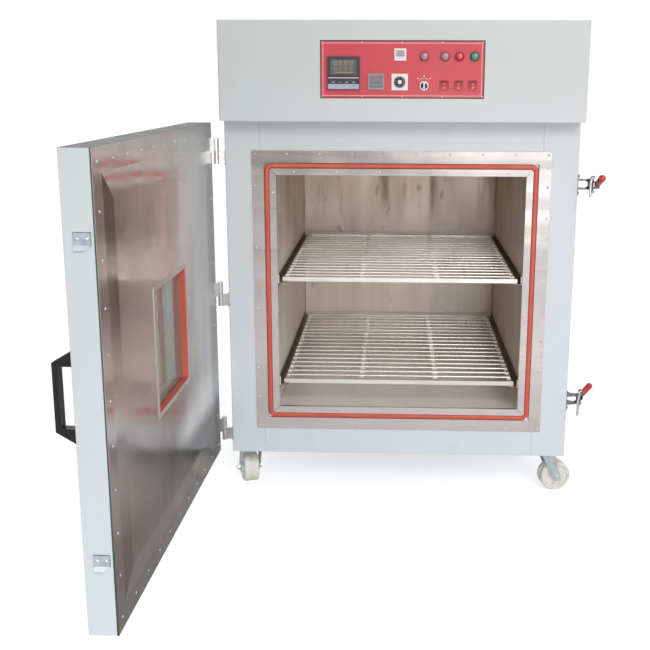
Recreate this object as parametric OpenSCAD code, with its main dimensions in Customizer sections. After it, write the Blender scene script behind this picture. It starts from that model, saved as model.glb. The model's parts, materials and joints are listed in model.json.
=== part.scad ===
// Floor-standing vacuum drying oven on swivel casters.
// Millimetres, +Z up.  The origin lies on the floor, midway across the body,
// in the plane of the body's front face; the chamber runs back along +Y.
// The door rests fully swung open on its left-hand hinges.

/* [Body] */
// Width of the body, the head and the door
body_w = 1096; // [1000:1:1300]
// Depth of the body from its front face to its back
body_d = 1120; // [1110:1:1300]
// Height of the body between the casters and the head
body_h = 1087; // [1060:1:1200]
// Thickness of the painted sheet steel
sheet_t = 2; // [1.5:0.1:3]
// Bend radius of the painted sheet at the upright corners
bend_r = 5; // [3:0.5:12]
// Distance of the front panel seams from the middle
seam_x = 438; // [400:1:455]

/* [Head] */
// Height of the control head
head_h = 293; // [250:1:400]
// How far the head stands forward of the body
head_proud = 79; // [60:1:120]
// Width of the window for the control panel
panel_w = 486; // [470:1:560]
// Height of the window for the control panel
panel_h = 168; // [160:1:200]
// Height of the control panel's centre above the head's lower edge
panel_rise = 152; // [120:1:180]
// How far the control panel laps behind the edge of its window
panel_lap = 8; // [4:1:20]
// Thickness of the control panel
panel_t = 3; // [2:0.5:5]

/* [Chamber] */
// Clear width of the chamber
chamber_w = 790; // [700:1:800]
// Clear height of the chamber
chamber_h = 770; // [700:1:800]
// Clear depth of the chamber
chamber_d = 975; // [800:1:1000]
// Height of the chamber's centre above the body's lower edge
chamber_rise = 539; // [500:1:560]
// Thickness of the chamber wall
chamber_t = 3; // [2:0.5:5]
// How far the mouth stands in from the chamber wall on each side
mouth_lip = 6; // [3:0.5:10]
// Thickness of the flat heaters on the chamber wall
heater_t = 4; // [2:0.5:8]

/* [Front frame] */
// Width of the frame's flange between the seal and the mouth
mouth_flange = 21.2; // [15:0.1:40]
// Thickness of the frame's sheet
frame_t = 2; // [1.5:0.5:4]
// Width of the screwed outer band of the frame
band_w = 38; // [25:1:50]
// Number of screws along each side of the frame
frame_screw_count = 10; // [6:1:14]
// Distance of the screws from the frame's edge
frame_screw_inset = 10; // [7:0.5:14]
// Diameter of the round silicone seal
seal_dia = 16; // [12:0.5:20]
// Outer corner radius of the seal
seal_corner_r = 26; // [20:1:40]

/* [Door] */
// Height of the door
door_h = 1066; // [1000:1:1150]
// Thickness of the painted door shell
door_t = 69; // [50:1:90]
// Clearance between the door's top and the head
door_top_gap = 7; // [4:0.5:15]
// Angle at which the door stands open
door_open = 91.5; // [80:0.5:120]
// Distance of the hinge axis from the body's side
hinge_out = 26; // [20:0.5:40]
// Clearance between the hinge axis plane and the door's rim when shut
door_rim_gap = 9; // [8:0.5:14]
// Height of the raised field of the inner door panel
field_raise = 4; // [2:0.5:6]
// Distance of the panel's outer fold from the door's edge
fold_outer = 55; // [45:1:70]
// Distance of the panel's inner fold from the door's edge
fold_inner = 112; // [90:1:120]
// Thickness of the inner door panel
door_panel_t = 1.5; // [1:0.1:3]

/* [Window] */
// Clear width of the door window
window_w = 300; // [200:1:400]
// Clear height of the door window
window_h = 312; // [200:1:400]
// Height of the window's centre above the door's lower edge
window_rise = 536; // [450:1:600]
// How far the window lies from the door's middle towards the free edge
window_shift = 14; // [0:1:40]
// Width of the window frame's flange
window_flange = 12; // [8:1:25]
// Thickness of each pane
glass_t = 6; // [4:0.5:12]

/* [Hinges] */
// Diameter of the hinge knuckles
knuckle_dia = 16; // [12:0.5:20]
// Height of each half of a hinge
hinge_half_h = 39; // [25:1:60]
// Spacing of the three hinges
hinge_pitch = 455; // [350:1:460]
// How far the middle hinge lies below the door's middle
hinge_drop = 10.5; // [0:0.5:20]
// Diameter of the hinge pins
hinge_pin_dia = 8; // [6:0.5:10]
// Radial clearance of a pin or an axle in its bore
running_gap = 0.06; // [0.03:0.01:0.1]
// Gap between parts that pass each other
pass_gap = 0.4; // [0.3:0.05:1]

/* [Latches] */
// Height of the two latches above the door's lower edge
latch_rise = [175, 879]; // [100:1:950]
// Distance of the latch pivot from the body's side
latch_out = 40; // [36:1:60]
// Distance of the latch pivot behind the body's front
latch_back = 35; // [30:1:60]
// Direction of each lever at rest, seen from above
lever_rest = [38, -80]; // [-85:1:80]
// Throw of the latch lever between its two pins
lever_throw = 20; // [15:0.5:25]
// Thickness of the bar of the pull loop
loop_bar = 6; // [5:0.5:8]
// Clearance between the pull loop's arms and the head of the pivot pin
loop_side_gap = 1.6; // [1:0.1:8]

/* [Shelves] */
// Heights of the shelves' upper face above the chamber floor
shelf_z = [90, 432]; // [40:1:700]
// Clearance between a shelf and the chamber wall on each side
shelf_side_gap = 19; // [12:1:60]
// Clearance between a shelf's back edge and the chamber's back wall
shelf_back_gap = 21; // [12:1:200]
// Distance of a shelf's front edge behind the body's front
shelf_y = 24; // [10:1:60]
// Diameter of the shelf rods
rod_dia = 6; // [4:0.5:8]
// Number of cross rods in a shelf
rod_count = 19; // [12:1:26]

/* [Casters] */
// Diameter of the caster wheels
wheel_dia = 100; // [75:1:125]
// Width of a caster wheel
wheel_w = 50; // [40:1:52]
// Full height of a caster
caster_h = 143; // [130:1:165]
// Length of the square caster plate
caster_plate = 100; // [80:1:110]
// How far a wheel trails behind its swivel
trail = 32; // [20:1:45]
// Diameter of the wheel axle
axle_dia = 10; // [8:0.5:12]
// Direction in which each wheel trails: front left, front right, back left, back right
trail_turn = [110, 11, 70, 115]; // [-180:1:180]

/* [Hidden] */
$fn = 48;
eps = 0.01;
body_z = caster_h;
body_top = body_z + body_h;
head_top = body_top + head_h;
chamber_z = body_z + chamber_rise;
mouth_w = chamber_w - 2 * mouth_lip;
mouth_h = chamber_h - 2 * mouth_lip;
wall_gap = 0.5;

// Folded seams, rear panels and their louvres
seam_w = 1.5;
rear_flange = 30;
rear_inset = 8;
rear_screw_inset = 12;
louvre_at = 250;
louvre_count = 9;
louvre_w = 160;
louvre_pitch = 14;
louvre_slot = 4;
louvre_tilt = 35;

// Screw heads: diameter and height
case_screw = [9, 3];
frame_screw = [7.5, 2.4];
door_screw = [7, 2];
panel_screw = [5, 1.6];
strike_screw = [8, 2.4];
hinge_screw = [9, 3];

// Seal channel in the front frame, from the mouth outward
channel_wall = 2;
channel_w = seal_dia + 2 * pass_gap;
channel_inner_w = mouth_w + 2 * mouth_flange;
channel_inner_h = mouth_h + 2 * mouth_flange;
channel_inner_r = seal_corner_r - seal_dia - pass_gap;
channel_outer_w = channel_inner_w + 2 * channel_w;
channel_outer_h = channel_inner_h + 2 * channel_w;
frame_w = channel_outer_w + 2 * band_w;
frame_h = channel_outer_h + 2 * band_w;
mitre = 0.9;
field_y = -(door_rim_gap - field_raise);
seal_y = field_y + pass_gap + seal_dia / 2;
channel_floor_y = seal_y + seal_dia / 2;

// Shelves and the steel angles that carry them
shelf_w = chamber_w - 2 * shelf_side_gap;
shelf_d = chamber_d - shelf_y - shelf_back_gap;
shelf_flat = 5;
shelf_bar = 14;
upstand_t = 4;
upstand_h = 3;
rod_weld = 0.4;
rail_t = 3;
rail_leg = 22;
rail_over = 12;
rail_lap = 14;
rail_tab = [9, 28];
rail_ends = [10, 8];

// Heaters on the chamber wall
heater_inset = 60;

// Control panel
panel_z = body_top + panel_rise;
panel_face_y = -head_proud + sheet_t;

// Places of the instruments on the panel, from its centre
controller_at = [-173, -11];
controller_size = 96;
controller_proud = 9;
timer_at = [-77, -35];
timer_size = 48;
timer_proud = 6;
counter_at = [-6, 43];
counter_size = 35;
counter_proud = 6;
neck_step = 2;
limiter_at = [-7, -36];
limiter_size = 48;
limiter_t = 4;
limiter_neck_dia = 13;
limiter_knob_dia = 32;
flute_dia = 2.4;
lamp_dia = 22;
lamp_bezel_dia = 28;
lamp_bezel_h = 5.5;
lamp_neck = 40;
lamp_row = 38;
lamp_xs = [65, 126, 168.5, 213];
selector_at = [65, -47];
selector_dia = 28;
selector_sunk = 2;
selector_cap_dia = selector_dia - 8;
rocker_xs = [125, 167, 209];
rocker_row = -46;
rocker_w = 26;
rocker_h = 30;
rocker_lip = 1.5;
rocker_wall = 2;
rocker_tilt = 7;
rocker_pivot = 4;
rocker_pin_dia = 3;
rocker_case_w = rocker_w - 2 * rocker_lip;
rocker_case_h = rocker_h - 2 * rocker_lip;
rocker_cap_w = rocker_case_w - 2 * rocker_wall;
rocker_cap_h = rocker_case_h - 2 * rocker_wall;
key_w = 14;
key_h = 8;
key_proud = 2.2;
key_depth = 5;
key_travel = 0.8;
key_pitch = 20;
key_xs = [for (i = [0:3]) (i - 1.5) * key_pitch];
key_row = -26;
shaft_dia = 6;
shaft_len = 25;

// Door, in its own frame: a from the hinge axis, n outward from it, z up
door_z = body_top - door_top_gap - door_h;
door_a = hinge_out;
door_w = body_w;
axis_x = -body_w / 2 - hinge_out;
door_mid_a = door_a + door_w / 2;
window_a = door_mid_a + window_shift;
window_z = door_z + window_rise;
rim_n = door_rim_gap;
back_n = rim_n + door_t;
door_screw_inset = 30;
door_screw_count = 11;

// Panes, their gaskets and the flange of the window frame
pane_inset = [13, 6];
pane_in_n = rim_n + pane_inset[0];
pane_out_n = back_n - pane_inset[1] - glass_t;
gasket_t = [5, 3];
window_flange_t = 1.5;
tube_t = 2;
tube_out = window_flange / 2 - pass_gap;
tube_in = tube_out - tube_t;

// Hinges: the leaves' distance from the axis plane, their reach and their screws
hinge_z = [for (i = [-1:1]) door_z + door_h / 2 - hinge_drop + i * hinge_pitch];
leaf_t = 3;
leaf_off = 2;
leaf_over = [4, 2];
body_leaf = 50;
door_leaf = 58;
body_leaf_screws = [18, 38];
door_leaf_screws = [26, 46];
pin_short = 6;

// Door handle: a bent bar with two long feet
handle_proud = 61;
handle_bar = 14;
handle_w = 24;
handle_inset = 60;
handle_top = 78;
handle_inner = 70;
handle_foot = 114;
handle_drop = 2;

// Latch: base plate with two ears, and the lever's pins
latch_z = [for (rise = latch_rise) door_z + rise];
ear_t = 3;
ear_in = 12;
ear_foot = 34;
ear_r = 9;
ear_root = [-22, 30];
ear_neck = [-18, 11];
ear_neck_x = 16;
base_reach = [-26, 40];
base_bolt_y = [-16, 30];
base_bolt_z = 26;
bolt = [9, 4];
latch_pin_dia = 8;
loop_pin_dia = 6;
pin_head = 1.5;
pin_head_over = 4;
pivot_half = ear_in + ear_t + pass_gap;
loop_h = 2 * (pivot_half + pin_head + loop_side_gap) + loop_bar;
loop_half = loop_h / 2 + loop_bar / 2 + pass_gap;
lever_plate_t = 3;
lever_plate_z = ear_in - 1;
lever_eye_r = 6;
lever_wing = 8;
lever_web = 4;
lever_lead = 15;
loop_az = -104;
loop_reach = 118.5;
grip_len = 58;
grip_tilt = 32;
grip_at = 32;
grip_side = 14;
grip_r = 10.5;
grip_neck = [5, 6];
grip_shoulder = [8.5, 8];
loop_eye_r = 7;

// Strikes on the door's free edge
strike_n = 38;
strike_t = 2;
strike_w = 36;
strike_up = 18;
strike_down = 8;
tongue_out = 6.6;
tongue_drop = 9.4;
tongue_ramp = 13;
tongue_taper = 1.5;
strike_screw_y = 10;
strike_screw_z = 5;

// Cable gland on the head's rear panel, from its lower edge
gland_inset = 118;
gland_at = [body_w / 2 - gland_inset, 60];
gland_thread = 25;
gland_nut = [36, 6];
gland_collar = [30, 9];
gland_cone = [29, 22, 8];
gland_bore = 13;
gland_tail = 12;

// Casters
caster_inset = 50;
caster_back = 70;
caster_xs = body_w / 2 - caster_inset;
caster_ys = [caster_back, body_d - caster_back];
caster_plate_t = 4;
race_h = 6;
crown_h = 7;
fork_top = caster_h - caster_plate_t - race_h - pass_gap;
fork_leg_t = 3.5;
fork_gap = wheel_w + 2 * 6;
crown_dia = 78;
crown_taper = 12;
race_dia = [62, 70];
kingpin_dia = 12;
kingpin_head = [20, 2];
plate_bolt = [14, 5];
plate_slot_dia = 9;
plate_slot_in = 12;
plate_narrow = 16;
axle_nut = [18, 7];
axle_end = 10;
fork_eye_r = 13;
fork_shoulder = 22;
hub_dia = 30;
tread_r = 5;
rim_face = 5;
web_sunk = 8;
groove = [3, 3];

// Port through the back of the chamber
port_at = [-105, -9];
port_bore = 24;
port_dia = 28;
port_flange = 40;
port_proud = 36;
port_rim = 3;
port_cone = 5;

// ---------- shared shapes ----------

// Upright slab between two heights, its plan a rectangle with round corners
module plan_slab(x0, x1, y0, y1, z0, z1, r) {
    translate([0, 0, z0]) linear_extrude(z1 - z0) {
        translate([x0 + r, y0]) square([x1 - x0 - 2 * r, y1 - y0]);
        translate([x0, y0 + r]) square([x1 - x0, y1 - y0 - 2 * r]);
        for (x = [x0 + r, x1 - r], y = [y0 + r, y1 - r]) translate([x, y]) circle(r);
    }
}

// Box between two opposite corners
module span(low, high) {
    translate(low) cube(high - low);
}

// Upright rectangular plate centred on x and z, from y0 to y1
module plate_y(w, h, y0, y1, x = 0, z = 0) {
    translate([x - w / 2, y0, z - h / 2]) cube([w, y1 - y0, h]);
}

// The same plate with round corners
module round_plate_y(w, h, r, y0, y1, x = 0, z = 0) {
    translate([x, y1, z]) rotate([90, 0, 0]) linear_extrude(y1 - y0) {
        square([w - 2 * r, h], center = true);
        square([w, h - 2 * r], center = true);
        for (sx = [-1, 1], sz = [-1, 1]) translate([sx * (w / 2 - r), sz * (h / 2 - r)]) circle(r);
    }
}

// Rectangular ring in an upright plane, from y0 to y1
module ring_y(w, h, w_in, h_in, y0, y1, x = 0, z = 0) {
    difference() {
        plate_y(w, h, y0, y1, x, z);
        plate_y(w_in, h_in, y0 - 1, y1 + 1, x, z);
    }
}

// Cylinder that points towards the front from y0 to y1
module rod_y(d, y0, y1, x = 0, z = 0) {
    translate([x, y0, z]) rotate([-90, 0, 0]) cylinder(d = d, h = y1 - y0);
}

// Cylinder along x
module rod_x(d, x0, x1, y = 0, z = 0) {
    translate([x0, y, z]) rotate([0, 90, 0]) cylinder(d = d, h = x1 - x0);
}

// Low domed screw head, its flat side on the plane y = 0 and its cross slot towards -Y
module screw_head(size) {
    d = size[0];
    h = size[1];
    dome = (d * d / 4 + h * h) / (2 * h);
    rotate([90, 0, 0]) difference() {
        rotate_extrude() intersection() {
            translate([0, h - dome]) circle(dome);
            square([d / 2, h]);
        }
        for (a = [0, 90]) rotate([0, 0, a])
            translate([-d * 0.3, -d * 0.06, h * 0.55]) cube([d * 0.6, d * 0.12, h]);
    }
}

// Places from -1 to 1 in n even steps
function steps(n) = [for (i = [0:n - 1]) -1 + 2 * i / (n - 1)];

// Places children at the frame screws
module at_frame_screws() {
    w = frame_w / 2 - frame_screw_inset;
    h = frame_h / 2 - frame_screw_inset;
    for (s = steps(frame_screw_count), side = [-1, 1]) translate([s * w, 0, chamber_z + side * h]) children();
    for (s = [for (t = steps(frame_screw_count)) if (abs(t) < 1 - eps) t], side = [-1, 1])
        translate([side * w, 0, chamber_z + s * h]) children();
}

// Turns the shut door's frame (a, n) to the open rest position
module on_door() {
    translate([axis_x, 0, 0]) rotate([0, 0, -door_open]) children();
}

// Box on the door between (a, n, z) corners; n grows outward, to the front when shut
module door_span(a0, a1, n0, n1, z0, z1) {
    translate([a0, -n1, z0]) cube([a1 - a0, n1 - n0, z1 - z0]);
}

// ---------- body ----------

module body_casing() {
    color([0.83, 0.86, 0.87]) difference() {
        plan_slab(-body_w / 2, body_w / 2, 0, body_d, body_z, body_top, bend_r);
        span([-body_w / 2 + sheet_t, sheet_t, body_z + sheet_t],
             [body_w / 2 - sheet_t, body_d - sheet_t, body_top - sheet_t]);
        plate_y(channel_outer_w + 2 * channel_wall + 2 * wall_gap,
                channel_outer_h + 2 * channel_wall + 2 * wall_gap, -1, sheet_t + 1, 0, chamber_z);
        plate_y(body_w - 2 * rear_flange, body_h - 2 * rear_flange, body_d - sheet_t - 1, body_d + 1,
                0, body_z + body_h / 2);
        for (s = [-1, 1]) span([s * seam_x - seam_w / 2, -1, body_z - 1],
                               [s * seam_x + seam_w / 2, sheet_t / 2, body_top + 1]);
    }
}

// Rear cover of height h about z, its screws in rows at the given heights from -1 to 1
module cover(h, z, rows) {
    w = body_w - 2 * rear_inset;
    plate_y(w, h, body_d, body_d + sheet_t, 0, z);
    for (sx = [-1:1], sz = rows) if (sx != 0 || sz != 0)
        translate([sx * (w / 2 - rear_screw_inset), body_d + sheet_t, z + sz * (h / 2 - rear_screw_inset)])
            rotate([0, 0, 180]) screw_head(case_screw);
}

module rear_panel() {
    color([0.83, 0.86, 0.87]) difference() {
        cover(body_h - 2 * rear_inset, body_z + body_h / 2, [-1, 0, 1]);
        rod_y(port_dia + 2, body_d - 1, body_d + sheet_t + 1, port_at[0], chamber_z + port_at[1]);
    }
}

module insulation() {
    skin = sheet_t + wall_gap;
    clear = chamber_t + heater_t + wall_gap;
    back = chamber_d + chamber_t + wall_gap;
    color([0.93, 0.9, 0.8]) difference() {
        span([-body_w / 2 + skin, channel_floor_y + channel_wall + wall_gap, body_z + skin],
             [body_w / 2 - skin, body_d - skin, body_top - skin]);
        plate_y(chamber_w + 2 * clear, chamber_h + 2 * clear, 0, back, 0, chamber_z);
        rod_y(port_dia + 1, chamber_d, body_d, port_at[0], chamber_z + port_at[1]);
    }
}

module heaters() {
    inset = heater_inset;
    x = chamber_w / 2 + chamber_t;
    z = chamber_h / 2 + chamber_t;
    color([0.35, 0.16, 0.12]) for (s = [-1, 1]) {
        translate([min(s * x, s * (x + heater_t)), inset, chamber_z - z + inset])
            cube([heater_t, chamber_d - 2 * inset, 2 * (z - inset)]);
        translate([-x + inset, inset, chamber_z + min(s * z, s * (z + heater_t))])
            cube([2 * (x - inset), chamber_d - 2 * inset, heater_t]);
    }
}

module chamber() {
    color([0.72, 0.68, 0.62]) difference() {
        plate_y(chamber_w + 2 * chamber_t, chamber_h + 2 * chamber_t, 0, chamber_d + chamber_t, 0, chamber_z);
        plate_y(chamber_w, chamber_h, -1, chamber_d, 0, chamber_z);
        rod_y(port_dia + 2 * running_gap, chamber_d - 1, chamber_d + chamber_t + 1,
              port_at[0], chamber_z + port_at[1]);
    }
}

module front_frame() {
    z = chamber_z;
    back = channel_floor_y + channel_wall;
    color([0.78, 0.76, 0.73]) difference() {
        union() {
            // screwed band and the flange round the mouth
            plate_y(frame_w, frame_h, -frame_t, 0, 0, z);
            // pressed channel that holds the seal
            difference() {
                plate_y(channel_outer_w + 2 * channel_wall, channel_outer_h + 2 * channel_wall,
                        -eps, back, 0, z);
                round_plate_y(channel_inner_w - 2 * channel_wall, channel_inner_h - 2 * channel_wall,
                              channel_inner_r - channel_wall, -1, back + 1, 0, z);
            }
            // return of the mouth into the chamber
            plate_y(mouth_w + 2 * frame_t, mouth_h + 2 * frame_t, -eps, 2 * mouth_lip, 0, z);
        }
        difference() {
            plate_y(channel_outer_w, channel_outer_h, -frame_t - 1, channel_floor_y, 0, z);
            round_plate_y(channel_inner_w, channel_inner_h, channel_inner_r,
                          -frame_t - 2, channel_floor_y + 1, 0, z);
        }
        plate_y(mouth_w, mouth_h, -frame_t - 1, 2 * mouth_lip + 1, 0, z);
        // mitre joints at the four corners
        for (sx = [-1, 1], sz = [-1, 1])
            translate([sx * mouth_w / 2, -frame_t, z + sz * mouth_h / 2]) rotate([0, -sx * sz * 45, 0])
                cube([4 * mouth_flange, mitre, mitre], center = true);
    }
}

module frame_screws() {
    color([0.85, 0.85, 0.86]) at_frame_screws() translate([0, -frame_t, 0]) screw_head(frame_screw);
}

// Round cord bent to a rectangle with round corners
module cord_loop(w, h, d, r) {
    for (s = [-1, 1]) {
        rod_x(d, -w / 2 + r, w / 2 - r, 0, s * h / 2);
        translate([s * w / 2, 0, -h / 2 + r]) cylinder(d = d, h = h - 2 * r);
    }
    for (q = [[1, 1, 0], [-1, 1, 90], [-1, -1, 180], [1, -1, 270]])
        translate([q[0] * (w / 2 - r), 0, q[1] * (h / 2 - r)]) rotate([90, 0, 0])
            rotate([0, 0, q[2]]) rotate_extrude(angle = 90) translate([r, 0]) circle(d = d);
}

module door_seal() {
    r = seal_corner_r - seal_dia / 2;
    color([0.86, 0.36, 0.26]) translate([0, seal_y, chamber_z])
        cord_loop(channel_outer_w - channel_w, channel_outer_h - channel_w, seal_dia, r);
}

// Steel angle that carries a shelf, on the wall at side s, with an upright tab at its front
module shelf_rail(s, top) {
    wall = chamber_w / 2;
    y0 = shelf_y - rail_ends[0];
    y1 = shelf_y + shelf_d + rail_ends[1];
    tab_z = top - rail_t - 1;
    mirror([s < 0 ? 1 : 0, 0, 0]) {
        span([wall - rail_t, y0, top - rail_leg], [wall, y1, top + rail_over]);
        span([shelf_w / 2 - rail_lap, y0, top - rail_t], [wall - eps, y1, top]);
        span([wall - rail_tab[0], y0, tab_z], [wall - rail_t + eps, y0 + rail_t, tab_z + rail_tab[1]]);
    }
}

module shelf_rails() {
    color([0.35, 0.32, 0.29]) for (s = [-1, 1], h = shelf_z)
        shelf_rail(s, chamber_z - chamber_h / 2 + h - rod_dia - shelf_flat - pass_gap);
}

// Welded wire shelf: a flat-bar border, flat bars from front to back, rods across them
module shelf(h) {
    top = chamber_z - chamber_h / 2 + h;
    bar_top = top - rod_dia;
    bay = (shelf_w - shelf_bar) / 3;
    inner_d = shelf_d - 2 * shelf_bar - rod_dia;
    mid_y = shelf_y + shelf_d / 2;
    rod_z = bar_top + rod_dia / 2 - rod_weld;
    rod_end = shelf_w / 2 - 2;
    color([0.86, 0.84, 0.8]) {
        difference() {
            span([-shelf_w / 2, shelf_y, bar_top - shelf_flat], [shelf_w / 2, shelf_y + shelf_d, bar_top]);
            for (i = [0:2]) {
                x0 = -shelf_w / 2 + shelf_bar + i * bay;
                span([x0, shelf_y + shelf_bar, bar_top - shelf_flat - 1],
                     [x0 + bay - shelf_bar, shelf_y + shelf_d - shelf_bar, bar_top + 1]);
            }
        }
        // upstand along the front and the back edge
        for (y = [shelf_y, shelf_y + shelf_d - upstand_t])
            span([-shelf_w / 2, y, bar_top - eps], [shelf_w / 2, y + upstand_t, top + upstand_h]);
        for (t = steps(rod_count)) rod_x(rod_dia, -rod_end, rod_end, mid_y + t * inner_d / 2, rod_z);
    }
}
module shelf_lower() shelf(shelf_z[0]);
module shelf_upper() shelf(shelf_z[1]);

// ---------- head ----------

module head_casing() {
    color([0.8, 0.82, 0.81]) difference() {
        plan_slab(-body_w / 2, body_w / 2, -head_proud, body_d, body_top, head_top, bend_r);
        span([-body_w / 2 + sheet_t, -head_proud + sheet_t, body_top + sheet_t],
             [body_w / 2 - sheet_t, body_d - sheet_t, head_top - sheet_t]);
        plate_y(panel_w, panel_h, -head_proud - 1, -head_proud + sheet_t + 1, 0, panel_z);
        plate_y(body_w - 2 * rear_flange, head_h - 2 * rear_flange, body_d - sheet_t - 1, body_d + 1,
                0, body_top + head_h / 2);
    }
}

module head_rear_panel() {
    z = body_top + head_h / 2;
    color([0.8, 0.82, 0.81]) difference() {
        cover(head_h - 2 * rear_inset, z, [-1, 1]);
        for (s = [-1, 1], i = [0:louvre_count - 1])
            translate([s * louvre_at, body_d + sheet_t / 2, z + (i - (louvre_count - 1) / 2) * louvre_pitch])
                rotate([louvre_tilt, 0, 0]) cube([louvre_w, 6 * sheet_t, louvre_slot], center = true);
        rod_y(gland_thread + 2 * running_gap, body_d - 1, body_d + sheet_t + 1,
              gland_at[0], body_top + gland_at[1]);
    }
}

module cable_gland() {
    collar_z = gland_nut[1];
    cone_z = collar_z + gland_collar[1];
    color([0.1, 0.1, 0.11]) translate([gland_at[0], body_d + sheet_t, body_top + gland_at[1]])
        rotate([-90, 0, 0]) difference() {
            union() {
                cylinder(d = gland_nut[0], h = gland_nut[1], $fn = 6);
                translate([0, 0, -gland_tail]) cylinder(d = gland_thread, h = gland_tail + eps);
                translate([0, 0, collar_z]) cylinder(d = gland_collar[0], h = gland_collar[1]);
                translate([0, 0, cone_z]) cylinder(d1 = gland_cone[0], d2 = gland_cone[1], h = gland_cone[2]);
            }
            translate([0, 0, -gland_tail - 1])
                cylinder(d = gland_bore, h = gland_tail + cone_z + gland_cone[2] + 2);
        }
}

// Panel positions: x from the middle, z from the panel's centre
module on_panel(at) {
    translate([at[0], panel_face_y, panel_z + at[1]]) children();
}

// Side of the case behind the panel of a square instrument
function neck(size) = size - 2 * (size > 60 ? neck_step + 1 : neck_step);

module control_panel() {
    cut = panel_t + 2;
    color([0.82, 0.24, 0.29]) difference() {
        plate_y(panel_w + 2 * panel_lap, panel_h + 2 * panel_lap,
                panel_face_y, panel_face_y + panel_t, 0, panel_z);
        for (c = [[controller_at, controller_size], [timer_at, timer_size], [counter_at, counter_size]])
            on_panel(c[0]) plate_y(neck(c[1]), neck(c[1]), -1, cut);
        on_panel(limiter_at) rod_y(limiter_neck_dia + 2 * pass_gap, -1, cut);
        for (x = lamp_xs) on_panel([x, lamp_row]) rod_y(lamp_dia + 2 * pass_gap, -1, cut);
        on_panel(selector_at) rod_y(lamp_dia + 2 * pass_gap, -1, cut);
        for (x = rocker_xs) on_panel([x, rocker_row])
            plate_y(rocker_case_w + 2 * pass_gap, rocker_case_h + 2 * pass_gap, -1, cut);
    }
}

module panel_screws() {
    inset = 6;
    color([0.95, 0.85, 0.85]) for (s = steps(5), t = [-1, 1])
        on_panel([s * (panel_w / 2 - inset), t * (panel_h / 2 - inset)]) screw_head(panel_screw);
}

// Square instrument: a stepped bezel round a sunk window, and a case behind the panel
module instrument(size, proud, case_d, window, window_up) {
    step = 1.5;
    sunk = 1.3;
    case_w = neck(size) - 2 * pass_gap;
    difference() {
        union() {
            plate_y(size, size, -proud, 0);
            plate_y(size - 2 * step, size - 2 * step, -proud - 1, 0);
            plate_y(case_w, case_w, -eps, case_d);
        }
        plate_y(window[0], window[1], -proud - 2, -proud + sunk, 0, window_up);
    }
}

module temperature_controller() {
    color([0.23, 0.24, 0.26]) on_panel(controller_at) difference() {
        instrument(controller_size, controller_proud, 70, [78, 44], 18);
        for (x = key_xs) plate_y(key_w + 2 * pass_gap, key_h + 2 * pass_gap, -controller_proud - 2,
                                 -controller_proud + key_depth - 1, x, key_row);
    }
}

// Push key of the controller, its face just proud of the bezel
module controller_key(i) {
    color([0.55, 0.57, 0.62]) on_panel(controller_at)
        plate_y(key_w, key_h, -controller_proud - key_proud,
                -controller_proud + key_depth - 1 - key_travel - pass_gap, key_xs[i], key_row);
}
module controller_key_1() controller_key(0);
module controller_key_2() controller_key(1);
module controller_key_3() controller_key(2);
module controller_key_4() controller_key(3);

module timer() {
    color([0.6, 0.57, 0.6]) on_panel(timer_at) instrument(timer_size, timer_proud, 60, [38, 36], 0);
}

module counter() {
    color([0.93, 0.92, 0.92]) on_panel(counter_at) instrument(counter_size, counter_proud, 45, [24, 18], 3);
}

module limiter_plate() {
    color([0.94, 0.92, 0.92]) on_panel(limiter_at) difference() {
        union() {
            plate_y(limiter_size, limiter_size, -limiter_t, 0);
            rod_y(limiter_neck_dia, -eps, 40);
        }
        rod_y(shaft_dia + 2 * running_gap, -limiter_t - 1, shaft_len + limiter_t);
    }
}

module limiter_knob() {
    skirt_h = 6;
    grip = [16, 14, 10];
    color([0.12, 0.11, 0.12]) on_panel(limiter_at) translate([0, -limiter_t - pass_gap, 0]) rotate([90, 0, 0])
        difference() {
            union() {
                translate([0, 0, -shaft_len]) cylinder(d = shaft_dia, h = shaft_len + eps);
                cylinder(d = limiter_knob_dia, h = skirt_h);
                translate([0, 0, skirt_h - eps]) cylinder(d1 = grip[0], d2 = grip[1], h = grip[2]);
            }
            for (i = [0:11]) rotate([0, 0, i * 30]) translate([limiter_knob_dia / 2 + flute_dia / 6, 0, -1])
                cylinder(d = flute_dia, h = skirt_h + 2);
        }
}

// Signal lamp: threaded neck, bezel ring and domed lens
module lamp(x, shade) {
    dome_r = 14;
    lens_r = 11.5;
    rim = lamp_bezel_dia / 2;
    color(shade) on_panel([x, lamp_row]) rotate([90, 0, 0]) {
        translate([0, 0, -lamp_neck]) cylinder(d = lamp_dia, h = lamp_neck + eps);
        rotate_extrude() polygon([[0, 0], [rim, 0], [rim, 3], [rim - 2, lamp_bezel_h], [0, lamp_bezel_h]]);
        translate([0, 0, lamp_bezel_h - eps]) rotate_extrude() intersection() {
            translate([0, -6]) circle(dome_r);
            square([lens_r, dome_r]);
        }
    }
}
module clear_lamps() for (i = [0, 1]) lamp(lamp_xs[i], [0.55, 0.38, 0.42]);
module heating_lamp() lamp(lamp_xs[2], [0.8, 0.1, 0.1]);
module ready_lamp() lamp(lamp_xs[3], [0.1, 0.5, 0.42]);

module selector_bezel() {
    rim = selector_dia / 2;
    color([0.9, 0.88, 0.88]) on_panel(selector_at) rotate([90, 0, 0]) difference() {
        union() {
            translate([0, 0, -lamp_neck]) cylinder(d = lamp_dia, h = lamp_neck + eps);
            rotate_extrude()
                polygon([[0, 0], [rim, 0], [rim, 3.5], [rim - 2.5, lamp_bezel_h], [0, lamp_bezel_h]]);
        }
        translate([0, 0, selector_sunk]) cylinder(d = selector_cap_dia + 2 * pass_gap, h = lamp_bezel_h);
        translate([0, 0, -shaft_len - 5]) cylinder(d = shaft_dia + 2 * running_gap, h = lamp_neck);
    }
}

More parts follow.
